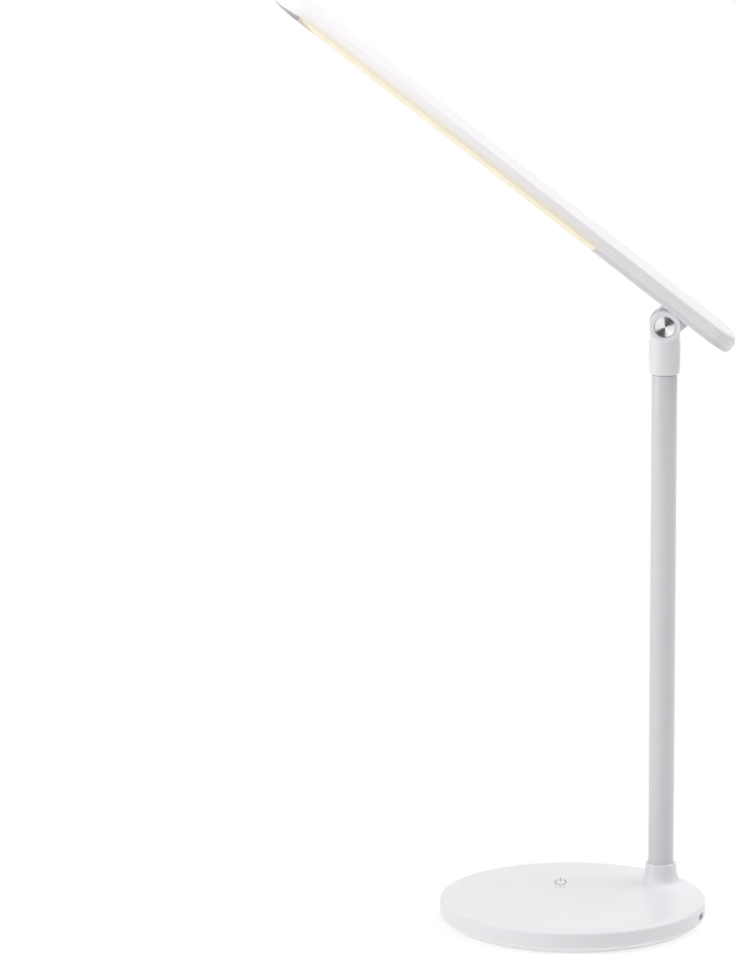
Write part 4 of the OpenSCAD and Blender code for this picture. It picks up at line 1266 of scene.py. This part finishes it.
@dataclass
class Studio:
    """Pale floor, white surroundings, soft lights and the camera of the photograph.

    The floor is white to the eye from the second of the fade distances, and keeps the shadow within the first.
    """

    image: tuple[int, int] = (736, 954)
    sensor_mm: float = 36.0
    clip_m: tuple[float, float] = (0.1, 100.0)
    focal_px: float = 5300.0
    eye_mm: tuple[float, float, float] = (30.454, -2824.66, 801.696)
    pitch: float = 0.19337
    yaw: float = -0.05043
    roll: float = -0.00325
    aim: tuple[float, float, float] = (0.0, 0.0, 0.22)
    ambient: float = 0.08
    table_glow: float = 0.22
    floor_half: float = 30000.0
    floor_z: float = -0.05
    fade_m: tuple[float, float] = (0.1, 0.5)
    fade_share: tuple[float, float] = (0.7, 1.0)
    boxes: tuple[SoftBox, ...] = (
        SoftBox("light_top", (-0.1, -0.3, 2.4), (2.4, 2.4), 24.5),
        SoftBox("light_right", (1.3, 0.5, 1.9), (2.4, 2.4), 32.0),
        SoftBox("light_left", (-2.1, -0.7, 0.8), (0.9, 1.6), 13.5),
        SoftBox("light_key", (-0.4, -0.5, 0.8), (0.7, 0.7), 2.0),
    )
    flag_apex: tuple[float, float, float] = (48.8, -7.4, 322.4)
    flag_reach: float = 80.0
    flag_deg: tuple[tuple[float, float], ...] = ((21.0, 94.0), (201.0, 274.0))

    def camera(self) -> None:
        """Camera from the fitted pose: yaw about Z, pitch down, roll about the view."""
        data = bpy.data.cameras.new("photo_camera")
        data.sensor_width = self.sensor_mm
        data.lens = self.focal_px * self.sensor_mm / max(self.image)
        data.clip_start, data.clip_end = self.clip_m
        sy, cy, sp, cp = math.sin(self.yaw), math.cos(self.yaw), math.sin(self.pitch), math.cos(self.pitch)
        right, ahead = np.array([cy, -sy, 0.0]), np.array([sy, cy, 0.0])
        forward, up = cp * ahead - [0, 0, sp], sp * ahead + np.array([0, 0, cp])
        sr, cr = math.sin(self.roll), math.cos(self.roll)
        turn = np.eye(4)
        turn[:3, 0], turn[:3, 1], turn[:3, 2] = cr * right + sr * up, cr * up - sr * right, -forward
        turn[:3, 3] = np.array(self.eye_mm) * MM
        made = bpy.data.objects.new("photo_camera", data)
        made.matrix_world = Matrix(turn.tolist())
        bpy.context.scene.collection.objects.link(made)
        bpy.context.scene.camera = made

    def lights(self) -> None:
        """Soft boxes that face the lamp."""
        for box in self.boxes:
            data = bpy.data.lights.new(box.name, "AREA")
            data.shape, data.size, data.size_y, data.energy = "RECTANGLE", *box.size, box.power
            made = bpy.data.objects.new(box.name, data)
            back = np.array(box.place) - np.array(self.aim)
            back /= np.linalg.norm(back)
            side = np.cross([0.0, 0.0, 1.0], back)
            side = side / np.linalg.norm(side) if np.linalg.norm(side) > 1e-6 else np.array([1.0, 0.0, 0.0])
            turn = np.eye(4)
            turn[:3, 0], turn[:3, 1], turn[:3, 2], turn[:3, 3] = side, np.cross(back, side), back, box.place
            made.matrix_world = Matrix(turn.tolist())
            made.visible_camera = False
            bpy.context.scene.collection.objects.link(made)

    def shown(self, tree: bpy.types.NodeTree) -> bpy.types.NodeSocket:
        """One for rays that show the background by sight, in a mirror or through glass, and nothing for the rest.

        Args:
            tree: node tree of the floor or the world.

        Returns:
            Socket with the value.
        """
        path = add_node(tree, "ShaderNodeLightPath")
        first = add_node(tree, "ShaderNodeMath", {"operation": "MAXIMUM"}, {
            0: path.outputs["Is Camera Ray"], 1: path.outputs["Is Glossy Ray"]})
        return add_node(tree, "ShaderNodeMath", {"operation": "MAXIMUM"}, {
            0: first.outputs[0], 1: path.outputs["Is Transmission Ray"]}).outputs[0]

    def surroundings(self) -> None:
        """White surroundings that light the lamp at a plain level."""
        world = bpy.data.worlds.new("white_room")
        tree = bare_tree(world)
        level = add_node(tree, "ShaderNodeMapRange", inputs={0: self.shown(tree), 3: self.ambient, 4: 1.0})
        sky = add_node(tree, "ShaderNodeBackground", inputs={"Color": linear("#FFFFFF"), "Strength": level.outputs[0]})
        add_node(tree, "ShaderNodeOutputWorld", inputs={"Surface": sky.outputs[0]})
        bpy.context.scene.world = world

    def floor(self) -> None:
        """Pale light table that keeps a faint shadow near the lamp, fades to white and is seen through from below."""
        ends = np.array([-self.floor_half, self.floor_half])
        made = piece("floor", [Patch(np.stack(np.broadcast_arrays(ends, ends[:, None], self.floor_z), axis=-1))])
        if made.data.polygons[0].normal.z < 0:
            made.data.flip_normals()
        material = bpy.data.materials.new("floor_pale")
        tree = bare_tree(material)
        matt = add_node(tree, "ShaderNodeBsdfDiffuse", inputs={"Color": linear("#F4F4F4")})
        glow = add_node(tree, "ShaderNodeEmission", inputs={"Color": linear("#FFFFFF"), "Strength": self.table_glow})
        lit = add_node(tree, "ShaderNodeAddShader", inputs={0: matt.outputs[0], 1: glow.outputs[0]})
        white = add_node(tree, "ShaderNodeEmission", inputs={"Color": linear("#FFFFFF"), "Strength": 1.0})
        place = add_node(tree, "ShaderNodeTexCoord").outputs["Object"]
        away = add_node(tree, "ShaderNodeVectorMath", {"operation": "LENGTH"}, {0: place})
        fade = add_node(tree, "ShaderNodeMapRange", inputs={
            0: away.outputs[1], 1: self.fade_m[0], 2: self.fade_m[1], 3: self.fade_share[0], 4: self.fade_share[1]})
        share = add_node(tree, "ShaderNodeMath", {"operation": "MULTIPLY"}, {0: self.shown(tree), 1: fade.outputs[0]})
        mixed = add_node(tree, "ShaderNodeMixShader", inputs={
            0: share.outputs[0], 1: lit.outputs[0], 2: white.outputs[0]})
        clear = add_node(tree, "ShaderNodeBsdfTransparent")
        side = add_node(tree, "ShaderNodeNewGeometry")
        final = add_node(tree, "ShaderNodeMixShader", inputs={
            0: side.outputs["Backfacing"], 1: mixed.outputs[0], 2: clear.outputs[0]})
        add_node(tree, "ShaderNodeOutputMaterial", inputs={"Surface": final.outputs[0]})
        made.data.materials.append(material)

    def flags(self) -> None:
        """Two black studio flags, seen only in polished metal: sectors of a disc in front of the hinge."""
        material = bpy.data.materials.new("flag_black_felt")
        tree = bare_tree(material)
        felt = add_node(tree, "ShaderNodeBsdfDiffuse", inputs={"Color": linear("#101010")})
        add_node(tree, "ShaderNodeOutputMaterial", inputs={"Surface": felt.outputs[0]})
        disc = np.stack([np.linspace(0.0, self.flag_reach, 3), np.zeros(3)], axis=1)
        sectors = [turned(disc, np.radians(np.linspace(low, high, 25)))[..., [0, 2, 1]] for low, high in self.flag_deg]
        made = piece("studio_flags", [Patch(sector + np.array(self.flag_apex)) for sector in sectors])
        made.data.materials.append(material)
        made.visible_camera = made.visible_diffuse = made.visible_shadow = made.visible_transmission = False

    def build(self) -> None:
        """Sets the camera, the lights, the surroundings, the floor and the flags."""
        self.camera()
        self.lights()
        self.surroundings()
        self.floor()
        self.flags()
        bpy.context.scene.view_settings.view_transform = "Standard"


def main() -> None:
    """Builds the studio and the lamp."""
    logging.basicConfig(level=logging.INFO, format="%(name)s: %(message)s")
    Studio().build()
    axis, dresser = StemAxis.from_frame(), Dresser()
    for assembly in (Base(axis), Stem(axis), Knuckle(axis), LightBar(axis)):
        assembly.build(dresser)


if __name__ == "__main__":
    main()
